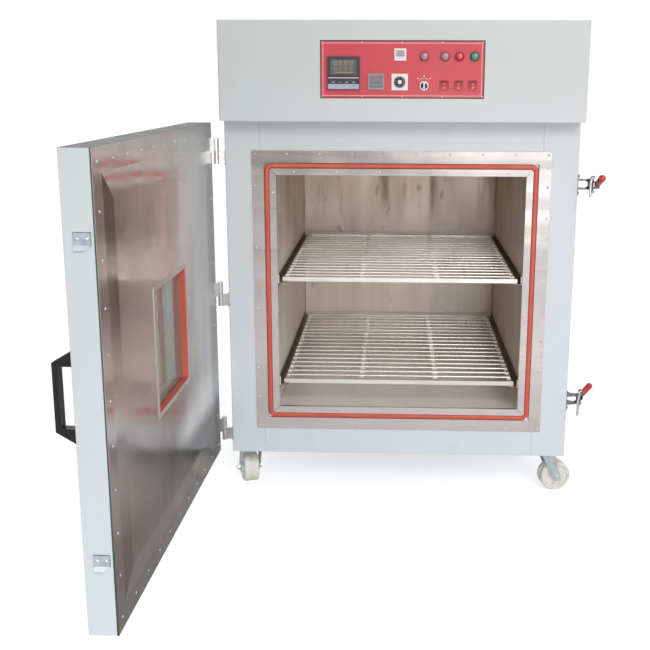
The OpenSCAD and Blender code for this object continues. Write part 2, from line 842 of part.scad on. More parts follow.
module selector_knob() {
    cap_h = 5;
    wing = [7, 11];
    color([0.1, 0.1, 0.1]) on_panel(selector_at) translate([0, -selector_sunk - pass_gap, 0])
        rotate([90, 0, 0]) {
            translate([0, 0, -shaft_len]) cylinder(d = shaft_dia, h = shaft_len + eps);
            cylinder(d = selector_cap_dia, h = cap_h);
            intersection() {
                translate([0, 0, cap_h - eps]) cylinder(d = selector_cap_dia, h = wing[1]);
                translate([-wing[0] / 2, -selector_cap_dia, 0])
                    cube([wing[0], 2 * selector_cap_dia, 2 * wing[1]]);
            }
        }
}

module rocker_bezels() {
    proud = 2.5;
    color([0.6, 0.12, 0.12]) for (x = rocker_xs) on_panel([x, rocker_row]) difference() {
        union() {
            plate_y(rocker_w, rocker_h, -proud, 0);
            plate_y(rocker_case_w, rocker_case_h, -eps, 22);
        }
        plate_y(rocker_cap_w + 2 * pass_gap, rocker_cap_h + 2 * pass_gap, -proud - 1, 14);
        rod_x(rocker_pin_dia + 2 * running_gap, -rocker_case_w / 2 - 1, rocker_case_w / 2 + 1, rocker_pivot);
    }
}

// Rocker with a shallow V face, tilted on its two trunnions inside the bezel
module rocker(i) {
    half = rocker_cap_h / 2 - 0.9;
    edge = 8.5;
    valley = 6.5;
    heel = 2;
    color([0.86, 0.16, 0.12]) on_panel([rocker_xs[i], rocker_row]) translate([0, rocker_pivot, 0])
        rotate([rocker_tilt, 0, 0]) {
            translate([-rocker_cap_w / 2, 0, 0]) rotate([90, 0, 90]) linear_extrude(rocker_cap_w)
                polygon([[-edge, -half], [-valley, 0], [-edge, half], [heel, half], [heel, -half]]);
            rod_x(rocker_pin_dia, -rocker_case_w / 2, rocker_case_w / 2);
        }
}
module rocker_1() rocker(0);
module rocker_2() rocker(1);
module rocker_3() rocker(2);

// ---------- hinges ----------

// Screws of a leaf, its outer face on the plane x = 0, facing -X
module leaf_screws(ys, z) {
    for (y = ys) translate([0, y, z]) rotate([0, 0, -90]) screw_head(hinge_screw);
}

// Lower half of each hinge, on the body's side, with its pin
module body_hinges() {
    face = hinge_out - leaf_t;
    color([0.75, 0.75, 0.74]) for (z = hinge_z) translate([axis_x, 0, z]) {
        translate([0, 0, -hinge_half_h]) cylinder(d = knuckle_dia, h = hinge_half_h - pass_gap / 2);
        cylinder(d = hinge_pin_dia, h = hinge_half_h - pin_short);
        // web to the leaf, then the leaf along the body's side
        span([0, leaf_off, -hinge_half_h], [face + eps, leaf_off + leaf_t, -pass_gap / 2]);
        span([face, leaf_off, -hinge_half_h - leaf_over[0]], [hinge_out, leaf_off + body_leaf, leaf_over[1]]);
        translate([face, leaf_off, 0]) leaf_screws(body_leaf_screws, -hinge_half_h / 2);
    }
}

// Upper half of each hinge, lifted onto the pin, on the door's hinge edge
module door_hinges() {
    face = hinge_out - leaf_t;
    color([0.75, 0.75, 0.74]) on_door() for (z = hinge_z) translate([0, 0, z]) difference() {
        union() {
            translate([0, 0, pass_gap / 2]) cylinder(d = knuckle_dia, h = hinge_half_h);
            span([0, -leaf_off - leaf_t, pass_gap / 2], [face + eps, -leaf_off, hinge_half_h]);
            span([face, -leaf_off - door_leaf, -leaf_over[0]],
                 [hinge_out, -leaf_off, hinge_half_h + leaf_over[1]]);
            translate([face, -leaf_off, 0]) leaf_screws(-door_leaf_screws, hinge_half_h / 2);
        }
        translate([0, 0, -1]) cylinder(d = hinge_pin_dia + 2 * running_gap, h = hinge_half_h - pin_short + 2);
    }
}

// ---------- door ----------

module door_shell() {
    color([0.84, 0.87, 0.88]) on_door() difference() {
        plan_slab(door_a, door_a + door_w, -back_n, -rim_n - door_panel_t, door_z, door_z + door_h, sheet_t);
        door_span(door_a + sheet_t, door_a + door_w - sheet_t, rim_n - 1, back_n - sheet_t,
                  door_z + sheet_t, door_z + door_h - sheet_t);
        window_cut(window_flange / 2);
    }
}

// Opening for the window through the whole door, wider by grow on each side
module window_cut(grow) {
    door_span(window_a - window_w / 2 - grow, window_a + window_w / 2 + grow, -5, back_n + 5,
              window_z - window_h / 2 - grow, window_z + window_h / 2 + grow);
}

module door_insulation() {
    gap = sheet_t + wall_gap;
    color([0.93, 0.9, 0.8]) on_door() difference() {
        door_span(door_a + gap, door_a + door_w - gap, rim_n + door_panel_t + wall_gap, back_n - gap,
                  door_z + gap, door_z + door_h - gap);
        window_cut(window_flange / 2 + wall_gap);
    }
}

// Field of the inner panel: a low frustum between the two folds
module field(inset) {
    hull() {
        field_slab(fold_outer + inset, rim_n + inset, rim_n + door_panel_t);
        field_slab(fold_inner + inset, rim_n - field_raise + inset, rim_n + inset);
    }
}

// Part of the door that lies in from its edges, from n0 to n1
module field_slab(in, n0, n1) {
    door_span(door_a + in, door_a + door_w - in, n0, n1, door_z + in, door_z + door_h - in);
}

module door_inner_panel() {
    color([0.62, 0.57, 0.53]) on_door() difference() {
        union() {
            door_span(door_a, door_a + door_w, rim_n, rim_n + door_panel_t, door_z, door_z + door_h);
            field(0);
        }
        translate([0, -eps, 0]) field(door_panel_t);
        window_cut(window_flange / 2);
    }
}

module door_screws() {
    w = door_w / 2 - door_screw_inset;
    h = door_h / 2 - door_screw_inset;
    inner = [for (t = steps(door_screw_count)) if (abs(t) < 1 - eps) t];
    color([0.85, 0.85, 0.86]) on_door() translate([door_mid_a, -rim_n, door_z + door_h / 2]) {
        for (s = steps(door_screw_count), side = [-1, 1])
            translate([s * w, 0, side * h]) rotate([0, 0, 180]) screw_head(door_screw);
        for (s = inner, side = [-1, 1])
            translate([side * w, 0, s * h]) rotate([0, 0, 180]) screw_head(door_screw);
    }
}

// Ring on the door about the window, from n0 to n1
module window_ring(outer, inner, n0, n1) {
    translate([window_a, 0, window_z])
        ring_y(window_w + 2 * outer, window_h + 2 * outer,
               window_w + 2 * inner, window_h + 2 * inner, -n1, -n0);
}

module window_frame() {
    field_n = rim_n - field_raise;
    color([0.8, 0.8, 0.78]) on_door() {
        window_ring(window_flange, 0, field_n - window_flange_t, field_n);
        window_ring(tube_out, tube_in, field_n - eps, back_n);
        window_ring(window_flange, 0, back_n, back_n + window_flange_t);
        window_ring(tube_out, 0, pane_in_n + glass_t, pane_out_n);
    }
}

module window_gasket() {
    color([0.8, 0.22, 0.18]) on_door() {
        window_ring(tube_in, 0, pane_in_n - gasket_t[0], pane_in_n);
        window_ring(tube_in, 0, pane_out_n + glass_t, pane_out_n + glass_t + gasket_t[1]);
    }
}

module window_glass() {
    w = window_w / 2 + tube_in - pass_gap;
    h = window_h / 2 + tube_in - pass_gap;
    color([0.6, 0.68, 0.66, 0.5]) on_door() for (n = [pane_in_n, pane_out_n])
        door_span(window_a - w, window_a + w, n, n + glass_t, window_z - h, window_z + h);
}

module door_handle() {
    reach = handle_bar - handle_proud;
    color([0.08, 0.08, 0.09]) on_door()
        translate([door_a + door_w - handle_inset - handle_w / 2, -back_n, door_z + door_h / 2 - handle_drop])
            rotate([90, 0, 90]) linear_extrude(handle_w) polygon([
                [0, handle_foot], [0, handle_inner], [reach, handle_inner],
                [reach, -handle_inner], [0, -handle_inner], [0, -handle_foot],
                [-handle_proud, -handle_top], [-handle_proud, handle_top]]);
}

// Catch plate on the door's free edge: two screws above a bent tongue with sloped ends
module door_strikes() {
    w = strike_w / 2;
    low = -strike_down - tongue_drop;
    color([0.8, 0.83, 0.84]) on_door() for (z = latch_z) translate([door_a + door_w, -strike_n, z]) {
        difference() {
            rotate([90, 0, 0]) translate([0, 0, -w]) linear_extrude(strike_w) polygon([
                [0, strike_up], [strike_t, strike_up], [strike_t, -strike_down], [strike_t + tongue_out, low],
                [tongue_out, low - 1], [0, -strike_down - 1]]);
            translate([-1, 0, 0]) rotate([90, 0, 90]) linear_extrude(20) {
                polygon([[w, -strike_down], [w - tongue_ramp, low], [w - tongue_ramp, low - 5],
                         [w + 5, low - 5], [w + 5, -strike_down]]);
                polygon([[-w, -strike_down], [-w + tongue_taper, low], [-w + tongue_taper, low - 5],
                         [-w - 5, low - 5], [-w - 5, -strike_down]]);
            }
        }
        for (s = [-1, 1]) translate([strike_t, s * strike_screw_y, strike_screw_z])
            rotate([0, 0, 90]) screw_head(strike_screw);
    }
}

// ---------- latches ----------

// Latch pivot on the body's right side
module at_latch(i) {
    translate([body_w / 2 + latch_out, latch_back, latch_z[i]]) children();
}

module latch_bases() {
    ear_out = ear_in + ear_t;
    root = -latch_out + 1;
    color([0.5, 0.48, 0.5]) for (i = [0, 1]) at_latch(i) {
        difference() {
            union() {
                // plate on the body's side
                span([-latch_out, base_reach[0], -ear_foot], [-latch_out + ear_t, base_reach[1], ear_foot]);
                // two ears with round ends
                for (z = [-ear_out, ear_in]) translate([0, 0, z]) linear_extrude(ear_t) {
                    circle(ear_r);
                    polygon([[root, ear_root[0]], [-ear_neck_x, ear_neck[0]], [0, -ear_r], [0, ear_r],
                             [-ear_neck_x, ear_neck[1]], [root, ear_root[1]]]);
                }
            }
            translate([0, 0, -ear_foot]) cylinder(d = latch_pin_dia + 2 * running_gap, h = 2 * ear_foot);
        }
        for (y = base_bolt_y, s = [-1, 1]) translate([-latch_out + ear_t, y, s * base_bolt_z])
            rotate([0, 90, 0]) cylinder(d = bolt[0], h = bolt[1], $fn = 6);
    }
}

// Loop's pin on the lever, seen from the pivot, with the lever pointing to az
function loop_pin(az) = lever_throw * [cos(az + lever_lead), sin(az + lever_lead), 0];

// Upright pin, half long to each side, with a flat head on both ends
module headed_pin(d, half) {
    cylinder(d = d, h = 2 * (half + pin_head), center = true);
    for (s = [-1, 1]) translate([0, 0, s * (half + pin_head / 2)])
        cylinder(d = d + pin_head_over, h = pin_head, center = true);
}

// Hand lever: two plates on the pivot pin, the loop's pin, and a grip on a bent stem
module latch_lever(i) {
    az = lever_rest[i];
    reach = grip_at + lever_web;
    low = grip_side - lever_wing;
    high = grip_side + lever_wing;
    dome_z = grip_len - grip_r;
    color([0.45, 0.46, 0.48]) at_latch(i) rotate([0, 0, az]) {
        for (z = [-lever_plate_z, lever_plate_z - lever_plate_t])
            translate([0, 0, z]) linear_extrude(lever_plate_t) {
                circle(ear_r);
                translate([loop_pin(0)[0], loop_pin(0)[1]]) circle(lever_eye_r);
                polygon([[0, -ear_r], [reach, low], [reach, high], [grip_at / 2, ear_r + 3], [0, ear_r]]);
            }
        // web between the plates at the grip
        span([reach - lever_web, low, -lever_plate_z], [reach, high, lever_plate_z]);
        headed_pin(latch_pin_dia, pivot_half);
        translate(loop_pin(0)) headed_pin(loop_pin_dia, loop_half);
    }
    color([0.8, 0.1, 0.12]) at_latch(i) rotate([0, 0, az]) translate([grip_at, grip_side, 0])
        rotate([0, 90 - grip_tilt, 0]) rotate_extrude() {
            polygon([[0, 0], [grip_neck[0], 0], grip_neck, grip_shoulder, [grip_r, dome_z], [0, dome_z]]);
            intersection() {
                translate([0, dome_z]) circle(grip_r);
                translate([0, dome_z - eps]) square([grip_r, grip_r + 1]);
            }
        }
}
module latch_lever_lower() latch_lever(0);
module latch_lever_upper() latch_lever(1);

// Pull loop: two arms with eyes on the lever's pin and an upright bar that catches the tongue
module latch_loop(i) {
    color([0.8, 0.8, 0.82]) at_latch(i) translate(loop_pin(lever_rest[i])) rotate([0, 0, loop_az]) {
        for (s = [-1, 1]) translate([0, 0, s * loop_h / 2]) difference() {
            union() {
                translate([0, 0, -loop_bar / 2]) cylinder(r = loop_eye_r, h = loop_bar);
                rod_x(loop_bar, 4, loop_reach);
                translate([loop_reach, 0, 0]) sphere(d = loop_bar + 1);
            }
            translate([0, 0, -loop_bar]) cylinder(d = loop_pin_dia + 2 * running_gap, h = 2 * loop_bar);
        }
        translate([loop_reach, 0, -loop_h / 2]) cylinder(d = loop_bar + 1, h = loop_h);
    }
}
module latch_loop_lower() latch_loop(0);
module latch_loop_upper() latch_loop(1);

// ---------- rear port ----------

module vacuum_port() {
    len = body_d + sheet_t + port_proud - chamber_d;
    cone_at = len - port_rim - port_cone;
    color([0.75, 0.74, 0.72]) translate([port_at[0], chamber_d, chamber_z + port_at[1]]) rotate([-90, 0, 0])
        difference() {
            union() {
                cylinder(d = port_dia, h = len);
                rotate_extrude() polygon([[port_bore / 2, cone_at], [port_dia / 2, cone_at],
                    [port_flange / 2, len - port_rim], [port_flange / 2, len], [port_bore / 2, len]]);
            }
            translate([0, 0, -1]) cylinder(d = port_bore, h = len + 2);
        }
}

// ---------- casters ----------

// Swivel axis of caster i: 0 front left, 1 front right, 2 back left, 3 back right
module at_caster(i) {
    translate([(i % 2 == 0 ? -1 : 1) * caster_xs, caster_ys[i < 2 ? 0 : 1], 0]) children();
}

module caster_plates() {
    hole_x = caster_plate / 2 - plate_slot_in;
    hole_y = hole_x - plate_narrow / 2;
    plate_z = caster_h - caster_plate_t;
    color([0.72, 0.73, 0.73]) for (i = [0:3]) at_caster(i) {
        difference() {
            translate([0, 0, plate_z]) linear_extrude(caster_plate_t)
                square([caster_plate, caster_plate - plate_narrow], center = true);
            for (sx = [-1, 1], sy = [-1, 1]) translate([sx * hole_x, sy * hole_y, plate_z - 1])
                cylinder(d = plate_slot_dia, h = caster_plate_t + 2);
        }
        // pressed upper race, and the kingpin with its rivet head under the fork's crown
        translate([0, 0, plate_z - race_h]) cylinder(d1 = race_dia[0], d2 = race_dia[1], h = race_h + eps);
        translate([0, 0, fork_top - crown_h - pass_gap - kingpin_head[1]]) {
            cylinder(d = kingpin_dia, h = crown_h + race_h + kingpin_head[1]);
            cylinder(d = kingpin_head[0], h = kingpin_head[1]);
        }
        for (sx = [-1, 1], sy = [-1, 1]) translate([sx * hole_x, sy * hole_y, plate_z - plate_bolt[1]])
            cylinder(d = plate_bolt[0], h = plate_bolt[1] + 1, $fn = 6);
    }
}

// Pressed fork with two slanted legs, the axle bolt and its nuts
module caster_fork(i) {
    axle_z = wheel_dia / 2;
    y_leg = fork_gap / 2;
    outer = y_leg + fork_leg_t;
    color([0.72, 0.73, 0.73]) at_caster(i) rotate([0, 0, trail_turn[i]]) {
        difference() {
            union() {
                translate([0, 0, fork_top - crown_h / 2]) cylinder(d = crown_dia, h = crown_h / 2);
                translate([0, 0, fork_top - crown_h])
                    cylinder(d1 = crown_dia - crown_taper, d2 = crown_dia, h = crown_h / 2 + eps);
                for (y = [-y_leg, outer]) translate([0, y, 0]) rotate([90, 0, 0]) linear_extrude(fork_leg_t) {
                    polygon([[-fork_shoulder, fork_top - 1], [fork_shoulder, fork_top - 1],
                             [trail + fork_eye_r, axle_z], [trail, axle_z - fork_eye_r],
                             [trail - fork_eye_r, axle_z]]);
                    translate([trail, axle_z]) circle(fork_eye_r);
                }
            }
            translate([0, 0, fork_top - 2 * crown_h])
                cylinder(d = kingpin_dia + 2 * running_gap, h = 3 * crown_h);
        }
        translate([trail, 0, axle_z]) rotate([90, 0, 0]) {
            translate([0, 0, -outer - axle_end]) cylinder(d = axle_dia, h = 2 * outer + 2 * axle_end - 2);
            for (z = [-outer - axle_nut[1], outer]) translate([0, 0, z])
                cylinder(d = axle_nut[0], h = axle_nut[1], $fn = 6);
        }
    }
}
module caster_fork_1() caster_fork(0);
module caster_fork_2() caster_fork(1);
module caster_fork_3() caster_fork(2);
module caster_fork_4() caster_fork(3);

// Nylon wheel with a crowned and grooved tread, a recessed web and a hub
module caster_wheel(i) {
    r = wheel_dia / 2;
    w = wheel_w / 2;
    bore = axle_dia / 2 + running_gap;
    hub = hub_dia / 2;
    hub_w = fork_gap / 2 - pass_gap;
    rim_out = r - tread_r + 1;
    rim_in = rim_out - rim_face;
    web_w = w - web_sunk;
    side = [[bore, hub_w], [hub, hub_w], [hub + 1, web_w], [rim_in - 3, web_w], [rim_in, w],
            [rim_out, w], [r, w - tread_r], [r, groove[0] + 2], [r - groove[1], groove[0]]];
    other_side = [for (k = [len(side) - 1:-1:0]) [side[k][0], -side[k][1]]];
    color([0.93, 0.92, 0.88]) at_caster(i) rotate([0, 0, trail_turn[i]]) translate([trail, 0, r])
        rotate([90, 0, 0]) rotate_extrude($fn = 96) polygon(concat(side, other_side));
}
module caster_wheel_1() caster_wheel(0);
module caster_wheel_2() caster_wheel(1);
module caster_wheel_3() caster_wheel(2);
module caster_wheel_4() caster_wheel(3);

// ---------- assembly ----------

body_casing();
rear_panel();
insulation();
heaters();
chamber();
front_frame();
frame_screws();
door_seal();
shelf_rails();
head_casing();
head_rear_panel();
control_panel();
panel_screws();
temperature_controller();
timer();
counter();
limiter_plate();
limiter_knob();
clear_lamps();
heating_lamp();
ready_lamp();
selector_bezel();
selector_knob();
rocker_bezels();
rocker_1();
rocker_2();
rocker_3();
controller_key_1();
controller_key_2();
controller_key_3();
controller_key_4();
body_hinges();
latch_bases();
vacuum_port();
cable_gland();
caster_plates();
caster_fork_1();
caster_fork_2();
caster_fork_3();
caster_fork_4();
caster_wheel_1();
caster_wheel_2();
caster_wheel_3();
caster_wheel_4();
shelf_lower();
shelf_upper();
latch_lever_lower();
latch_lever_upper();
latch_loop_lower();
latch_loop_upper();
door_shell();
door_insulation();
door_inner_panel();
door_screws();
window_frame();
window_gasket();
window_glass();
door_handle();
door_strikes();
door_hinges();
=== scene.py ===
"""Finishes, small trim, light and camera for a floor-standing vacuum drying oven.

Metres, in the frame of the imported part: origin on the floor below the middle of the body's front, +Y back.
"""
import json
import math

import bmesh
import bpy
from mathutils import Matrix, Vector


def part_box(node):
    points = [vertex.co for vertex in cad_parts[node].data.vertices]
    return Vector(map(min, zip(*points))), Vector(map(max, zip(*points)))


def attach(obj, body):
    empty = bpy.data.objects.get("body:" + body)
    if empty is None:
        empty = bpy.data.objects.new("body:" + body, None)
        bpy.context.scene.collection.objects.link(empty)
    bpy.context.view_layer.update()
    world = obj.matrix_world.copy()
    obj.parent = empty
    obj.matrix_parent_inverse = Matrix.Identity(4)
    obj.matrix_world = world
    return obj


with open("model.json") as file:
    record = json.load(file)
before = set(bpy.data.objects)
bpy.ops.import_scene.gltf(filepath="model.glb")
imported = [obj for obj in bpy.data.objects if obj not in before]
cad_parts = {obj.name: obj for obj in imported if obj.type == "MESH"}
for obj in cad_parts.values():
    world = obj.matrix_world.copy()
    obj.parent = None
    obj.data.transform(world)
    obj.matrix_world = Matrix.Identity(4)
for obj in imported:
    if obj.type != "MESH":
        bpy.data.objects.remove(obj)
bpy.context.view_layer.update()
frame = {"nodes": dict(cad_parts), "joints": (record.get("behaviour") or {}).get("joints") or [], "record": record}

MM = 0.001
FORWARD = Matrix.Rotation(math.radians(90), 4, "X")
joints = {joint["name"]: joint for joint in frame["joints"]}


# ---------- material helpers ----------

def rgb(red, green, blue):
    """Linear colour of an 8-bit display colour."""
    def linear(value):
        value /= 255
        return value / 12.92 if value <= 0.04045 else ((value + 0.055) / 1.055) ** 2.4
    return (linear(red), linear(green), linear(blue), 1.0)


def shade(color, factor):
    """The colour with its channels multiplied by factor, up to white."""
    return tuple(min(1, channel * factor) for channel in color[:3]) + (1,)


class Finish:
    """One material: a Principled shader and the nodes that vary it."""

    def __init__(self, name, color, roughness=0.5, **sockets):
        self.material = bpy.data.materials.new(name)
        self.material.use_nodes = True
        self.tree = self.material.node_tree
        self.shader = self.tree.nodes["Principled BSDF"]
        self.shader.inputs["Base Color"].default_value = color
        self.shader.inputs["Roughness"].default_value = roughness
        for key, value in sockets.items():
            self.shader.inputs[key.replace("_", " ")].default_value = value
        self.color = color
        self.normal = None

    def node(self, kind, **settings):
        """A new shader node with its settings."""
        made = self.tree.nodes.new("ShaderNode" + kind)
        for key, value in settings.items():
            setattr(made, key, value)
        return made

    def feed(self, socket, value):
        """Links value into socket where it is a socket, and sets it where it is a number or colour."""
        if isinstance(value, bpy.types.NodeSocket):
            self.tree.links.new(value, socket)
        else:
            socket.default_value = value

    def place(self, stretch=(1, 1, 1)):
        """Position on the object, in metres, with each axis multiplied by stretch."""
        mapping = self.node("Mapping")
        mapping.inputs["Scale"].default_value = stretch
        self.feed(mapping.inputs["Vector"], self.node("TexCoord").outputs["Object"])
        return mapping.outputs["Vector"]

    def noise(self, scale, low=0.0, high=1.0, stretch=(1, 1, 1), detail=4.0, start=0.3, stop=0.7):
        """Noise whose middle range, start to stop, is spread from low to high."""
        noise = self.node("TexNoise")
        noise.inputs["Scale"].default_value = scale
        noise.inputs["Detail"].default_value = detail
        self.feed(noise.inputs["Vector"], self.place(stretch))
        return self.spread(noise.outputs["Fac"], low, high, start, stop)

    def spread(self, value, low, high, start=0.0, stop=1.0):
        """Value, from start to stop, spread from low to high."""
        spread = self.node("MapRange")
        self.feed(spread.inputs["Value"], value)
        for key, number in (("From Min", start), ("From Max", stop), ("To Min", low), ("To Max", high)):
            spread.inputs[key].default_value = number
        return spread.outputs["Result"]

    def ramp(self, axis, start, stop):
        """0 to 1 as the place on the object goes along an axis from start to stop, in metres."""
        place = self.node("SeparateXYZ")
        self.feed(place.inputs[0], self.place())
        if stop < start:
            return self.spread(place.outputs[axis], 1.0, 0.0, stop, start)
        return self.spread(place.outputs[axis], 0.0, 1.0, start, stop)

    def times(self, first, second):
        """The product of two values."""
        made = self.node("Math", operation="MULTIPLY")
        self.feed(made.inputs[0], first)
        self.feed(made.inputs[1], second)
        return made.outputs[0]

    def tint(self, share, color):
        """Mixes a second colour into the base colour where share is high."""
        mix = self.node("MixRGB")
        self.feed(mix.inputs["Fac"], share)
        self.feed(mix.inputs["Color1"], self.color)
        self.feed(mix.inputs["Color2"], color)
        self.color = mix.outputs["Color"]
        self.feed(self.shader.inputs["Base Color"], self.color)

    def rough(self, value):
        """Sets the roughness."""
        self.feed(self.shader.inputs["Roughness"], value)

    def bump(self, height, depth, strength=1.0):
        """Adds relief of the given depth in metres."""
        bump = self.node("Bump")
        bump.inputs["Strength"].default_value = strength
        bump.inputs["Distance"].default_value = depth
        self.feed(bump.inputs["Height"], height)
        if self.normal:
            self.feed(bump.inputs["Normal"], self.normal)
        self.normal = bump.outputs["Normal"]
        self.feed(self.shader.inputs["Normal"], self.normal)

    def bevel(self, radius, samples):
        """Normal of the surface with its sharp edges rounded."""
        bevel = self.node("Bevel", samples=samples)
        bevel.inputs["Radius"].default_value = radius
        return bevel.outputs["Normal"]

    def soft_edges(self, radius):
        """Rounds the shading of sharp edges, as a folded or moulded edge is."""
        self.normal = self.bevel(radius, 4)
        self.feed(self.shader.inputs["Normal"], self.normal)

    def edge_mask(self, radius):
        """Near 1 at sharp edges and 0 on flat faces."""
        dot = self.node("VectorMath", operation="DOT_PRODUCT")
        self.feed(dot.inputs[0], self.bevel(radius, 6))
        self.feed(dot.inputs[1], self.node("NewGeometry").outputs["Normal"])
        return self.spread(dot.outputs["Value"], 1.0, 0.0, 0.9, 0.995)


# ---------- finishes ----------

DOOR_TOP = 1.2228
DOOR_TOP_FADE = 0.0006


def painted(name, color):
    """Powder coat on sheet steel: fine orange peel, faint handling marks, chips along the folds.

    Painted shade makes the head and the left side duller, painted light makes it paler and bluer low down, and the
    door's top edge is dark grey.
    """
    paint = Finish(name, color, 0.42, Specular_IOR_Level=0.45)
    paint.soft_edges(0.0012)
    # painted shade: the head duller
    paint.tint(paint.ramp("Z", 1.0, 1.42), rgb(201, 204, 201))
    # painted shade: duller towards the left
    paint.tint(paint.times(paint.ramp("X", 0.1, -0.6), 0.48), rgb(190, 197, 198))
    # painted light: paler and bluer low down
    paint.tint(paint.times(paint.ramp("Z", 0.9, 0.15), 0.7), rgb(225, 235, 246))
    paint.tint(paint.noise(1.6, 0.0, 0.3, detail=3), rgb(208, 216, 219))
    door_top = paint.times(paint.ramp("Z", DOOR_TOP - DOOR_TOP_FADE, DOOR_TOP), paint.ramp("X", -0.56, -0.58))
    paint.tint(door_top, rgb(98, 98, 100))
    paint.tint(paint.noise(9.0, 0.0, 0.12, (1, 1, 0.25), 6, 0.55, 0.8), rgb(184, 186, 180))
    worn = paint.noise(160, 0.0, 0.35, detail=5, start=0.52, stop=0.6)
    paint.tint(paint.times(paint.edge_mask(0.0016), worn), rgb(150, 150, 148))
    paint.rough(paint.noise(14, 0.36, 0.5, detail=6))
    paint.bump(paint.noise(700, 0, 1, detail=2), 0.00005, 0.5)
    paint.bump(paint.noise(2.2, 0, 1, detail=1), 0.004, 0.12)
    return paint.material


def brushed(name, color, roughness, grain, stain=None, metallic=1.0, top=None, wave=0.16):
    """Rolled or ground stainless sheet, its grain running along the axis that grain leaves short.

    Stain is the colour of its cloudy patches, top a darker colour painted high up as shade, and wave how uneven
    the sheet is.
    """
    steel = Finish(name, color, roughness, Metallic=metallic, Anisotropic=0.5)
    if top:
        # painted shade: darker towards the top
        steel.tint(steel.ramp("Z", 0.45, 1.1), top)
    steel.soft_edges(0.0006)
    steel.tint(steel.noise(26, 0.0, 0.35, grain, 8), shade(color, 0.78))
    steel.tint(steel.noise(2.4, 0.0, 0.4, detail=5), shade(color, 1.18))
    if stain:
        steel.tint(steel.noise(3.3, 0.0, 0.5, (1, 1, 0.5), 7, 0.5, 0.75), stain)
    steel.rough(steel.noise(30, roughness - 0.07, roughness + 0.1, grain, 8))
    steel.bump(steel.noise(90, 0, 1, grain, 6), 0.00006, 0.6)
    steel.bump(steel.noise(3.1, 0, 1, detail=3), 0.01, wave)
    return steel.material


def chamber_steel():
    """Mill-finish lining: warm and cloudy, browner towards the top, darker and browner on the right wall, and
    paler on the floor as painted light.

    Drips have run down its back wall from the roof, and dark spots are scattered over it.
    """
    steel = Finish("chamber_steel", rgb(242, 233, 224), 0.4)
    steel.tint(steel.noise(2.1, 0.0, 0.5, (1, 1, 0.8), 5), rgb(208, 192, 176))
    steel.tint(steel.noise(7.0, 0.0, 0.4, (1, 0.3, 1), 8, 0.48, 0.72), rgb(242, 236, 228))
    steel.tint(steel.noise(40, 0.0, 0.22, (1, 1, 0.02), 8), rgb(182, 168, 152))
    # browner mottling towards the top
    heat = steel.noise(5, 0.35, 0.85, detail=6)
    steel.tint(steel.times(steel.ramp("Z", 0.75, 1.1), heat), rgb(206, 182, 158))
    drips = steel.noise(5.5, 0.0, 0.8, (2.4, 1, 0.42), 5, 0.56, 0.68)
    steel.tint(steel.times(steel.ramp("Z", 0.74, 0.9), drips), rgb(140, 124, 104))
    steel.tint(steel.noise(15, 0.0, 0.5, (1.3, 1, 0.6), 3, 0.66, 0.72), rgb(126, 106, 86))
    steel.tint(steel.times(steel.ramp("X", 0.36, 0.4), 0.62), rgb(148, 126, 100))
    # painted light: the floor paler and less metallic, where light from above falls
    floor = steel.ramp("Z", 0.31, 0.3)
    steel.tint(floor, rgb(255, 251, 246))
    steel.feed(steel.shader.inputs["Metallic"], steel.spread(floor, 0.48, 0.2))
    steel.rough(steel.noise(11, 0.34, 0.54, (1, 1, 0.3), 8))
    steel.bump(steel.noise(120, 0, 1, (1, 1, 0.03), 6), 0.00005, 0.5)
    steel.bump(steel.noise(2.6, 0, 1, detail=2), 0.012, 0.22)
    return steel.material


def door_steel():
    """Bright sheet on the door's inside: a soft mirror with upright grain.

    Painted reflections make it greyer towards the hinge, brown low down away from the hinge, a little darker at
    the top, pale low down by the hinge and dark along the bottom.
    """
    steel = Finish("door_steel", rgb(206, 192, 185), 0.2, Metallic=0.92, Anisotropic=0.5)
    steel.soft_edges(0.001)
    # painted reflection: greyer towards the hinge
    steel.tint(steel.times(steel.ramp("Y", -0.5, -0.22), 0.85), rgb(212, 213, 214))
    # painted reflection: a little darker at the top
    steel.tint(steel.times(steel.ramp("Z", 1.08, 1.2), 0.3), rgb(168, 158, 152))
    steel.tint(steel.noise(1.9, 0.0, 0.4, (1, 1, 0.7), 5), rgb(188, 172, 164))
    steel.tint(steel.noise(60, 0.0, 0.25, (1, 1, 0.02), 8), rgb(222, 214, 208))
    steel.tint(steel.noise(6.0, 0.0, 0.25, (1, 1, 0.4), 8, 0.55, 0.75), rgb(226, 220, 214))
    # painted reflection: brown low down, away from the hinge
    low = steel.times(steel.ramp("Z", 0.62, 0.36), steel.ramp("Y", -0.1, -0.45))
    steel.tint(steel.times(low, 0.94), rgb(114, 96, 85))
    # painted reflection: a pale patch low down by the hinge
    pale_reflection_by_hinge = steel.times(steel.ramp("Z", 0.5, 0.42), steel.ramp("Y", -0.6, -0.45))
    pale_reflection_by_hinge = steel.times(pale_reflection_by_hinge, steel.ramp("Z", 0.33, 0.39))
    steel.tint(steel.times(pale_reflection_by_hinge, 0.8), rgb(255, 252, 250))
    # painted reflection: dark along the bottom
    steel.tint(steel.times(steel.ramp("Z", 0.37, 0.32), 0.75), rgb(96, 82, 74))
    steel.rough(steel.noise(8, 0.12, 0.26, (1, 1, 0.3), 8))
    steel.bump(steel.noise(140, 0, 1, (1, 1, 0.03), 6), 0.00004, 0.5)
    steel.bump(steel.noise(1.8, 0, 1, detail=2), 0.02, 0.2)
    return steel.material


def zinc(name, color, roughness):
    """Zinc plate: soft dark blotches, rubbed bright at the edges."""
    plate = Finish(name, color, roughness, Metallic=1.0)
    plate.soft_edges(0.0005)
    plate.tint(plate.noise(55, 0.0, 0.5, detail=6), shade(color, 0.56))
    plate.tint(plate.times(plate.edge_mask(0.001), 0.35), rgb(236, 236, 238))
    plate.rough(plate.noise(90, roughness - 0.06, roughness + 0.14, detail=6))
    plate.bump(plate.noise(400, 0, 1, detail=4), 0.00004, 0.6)
    return plate.material


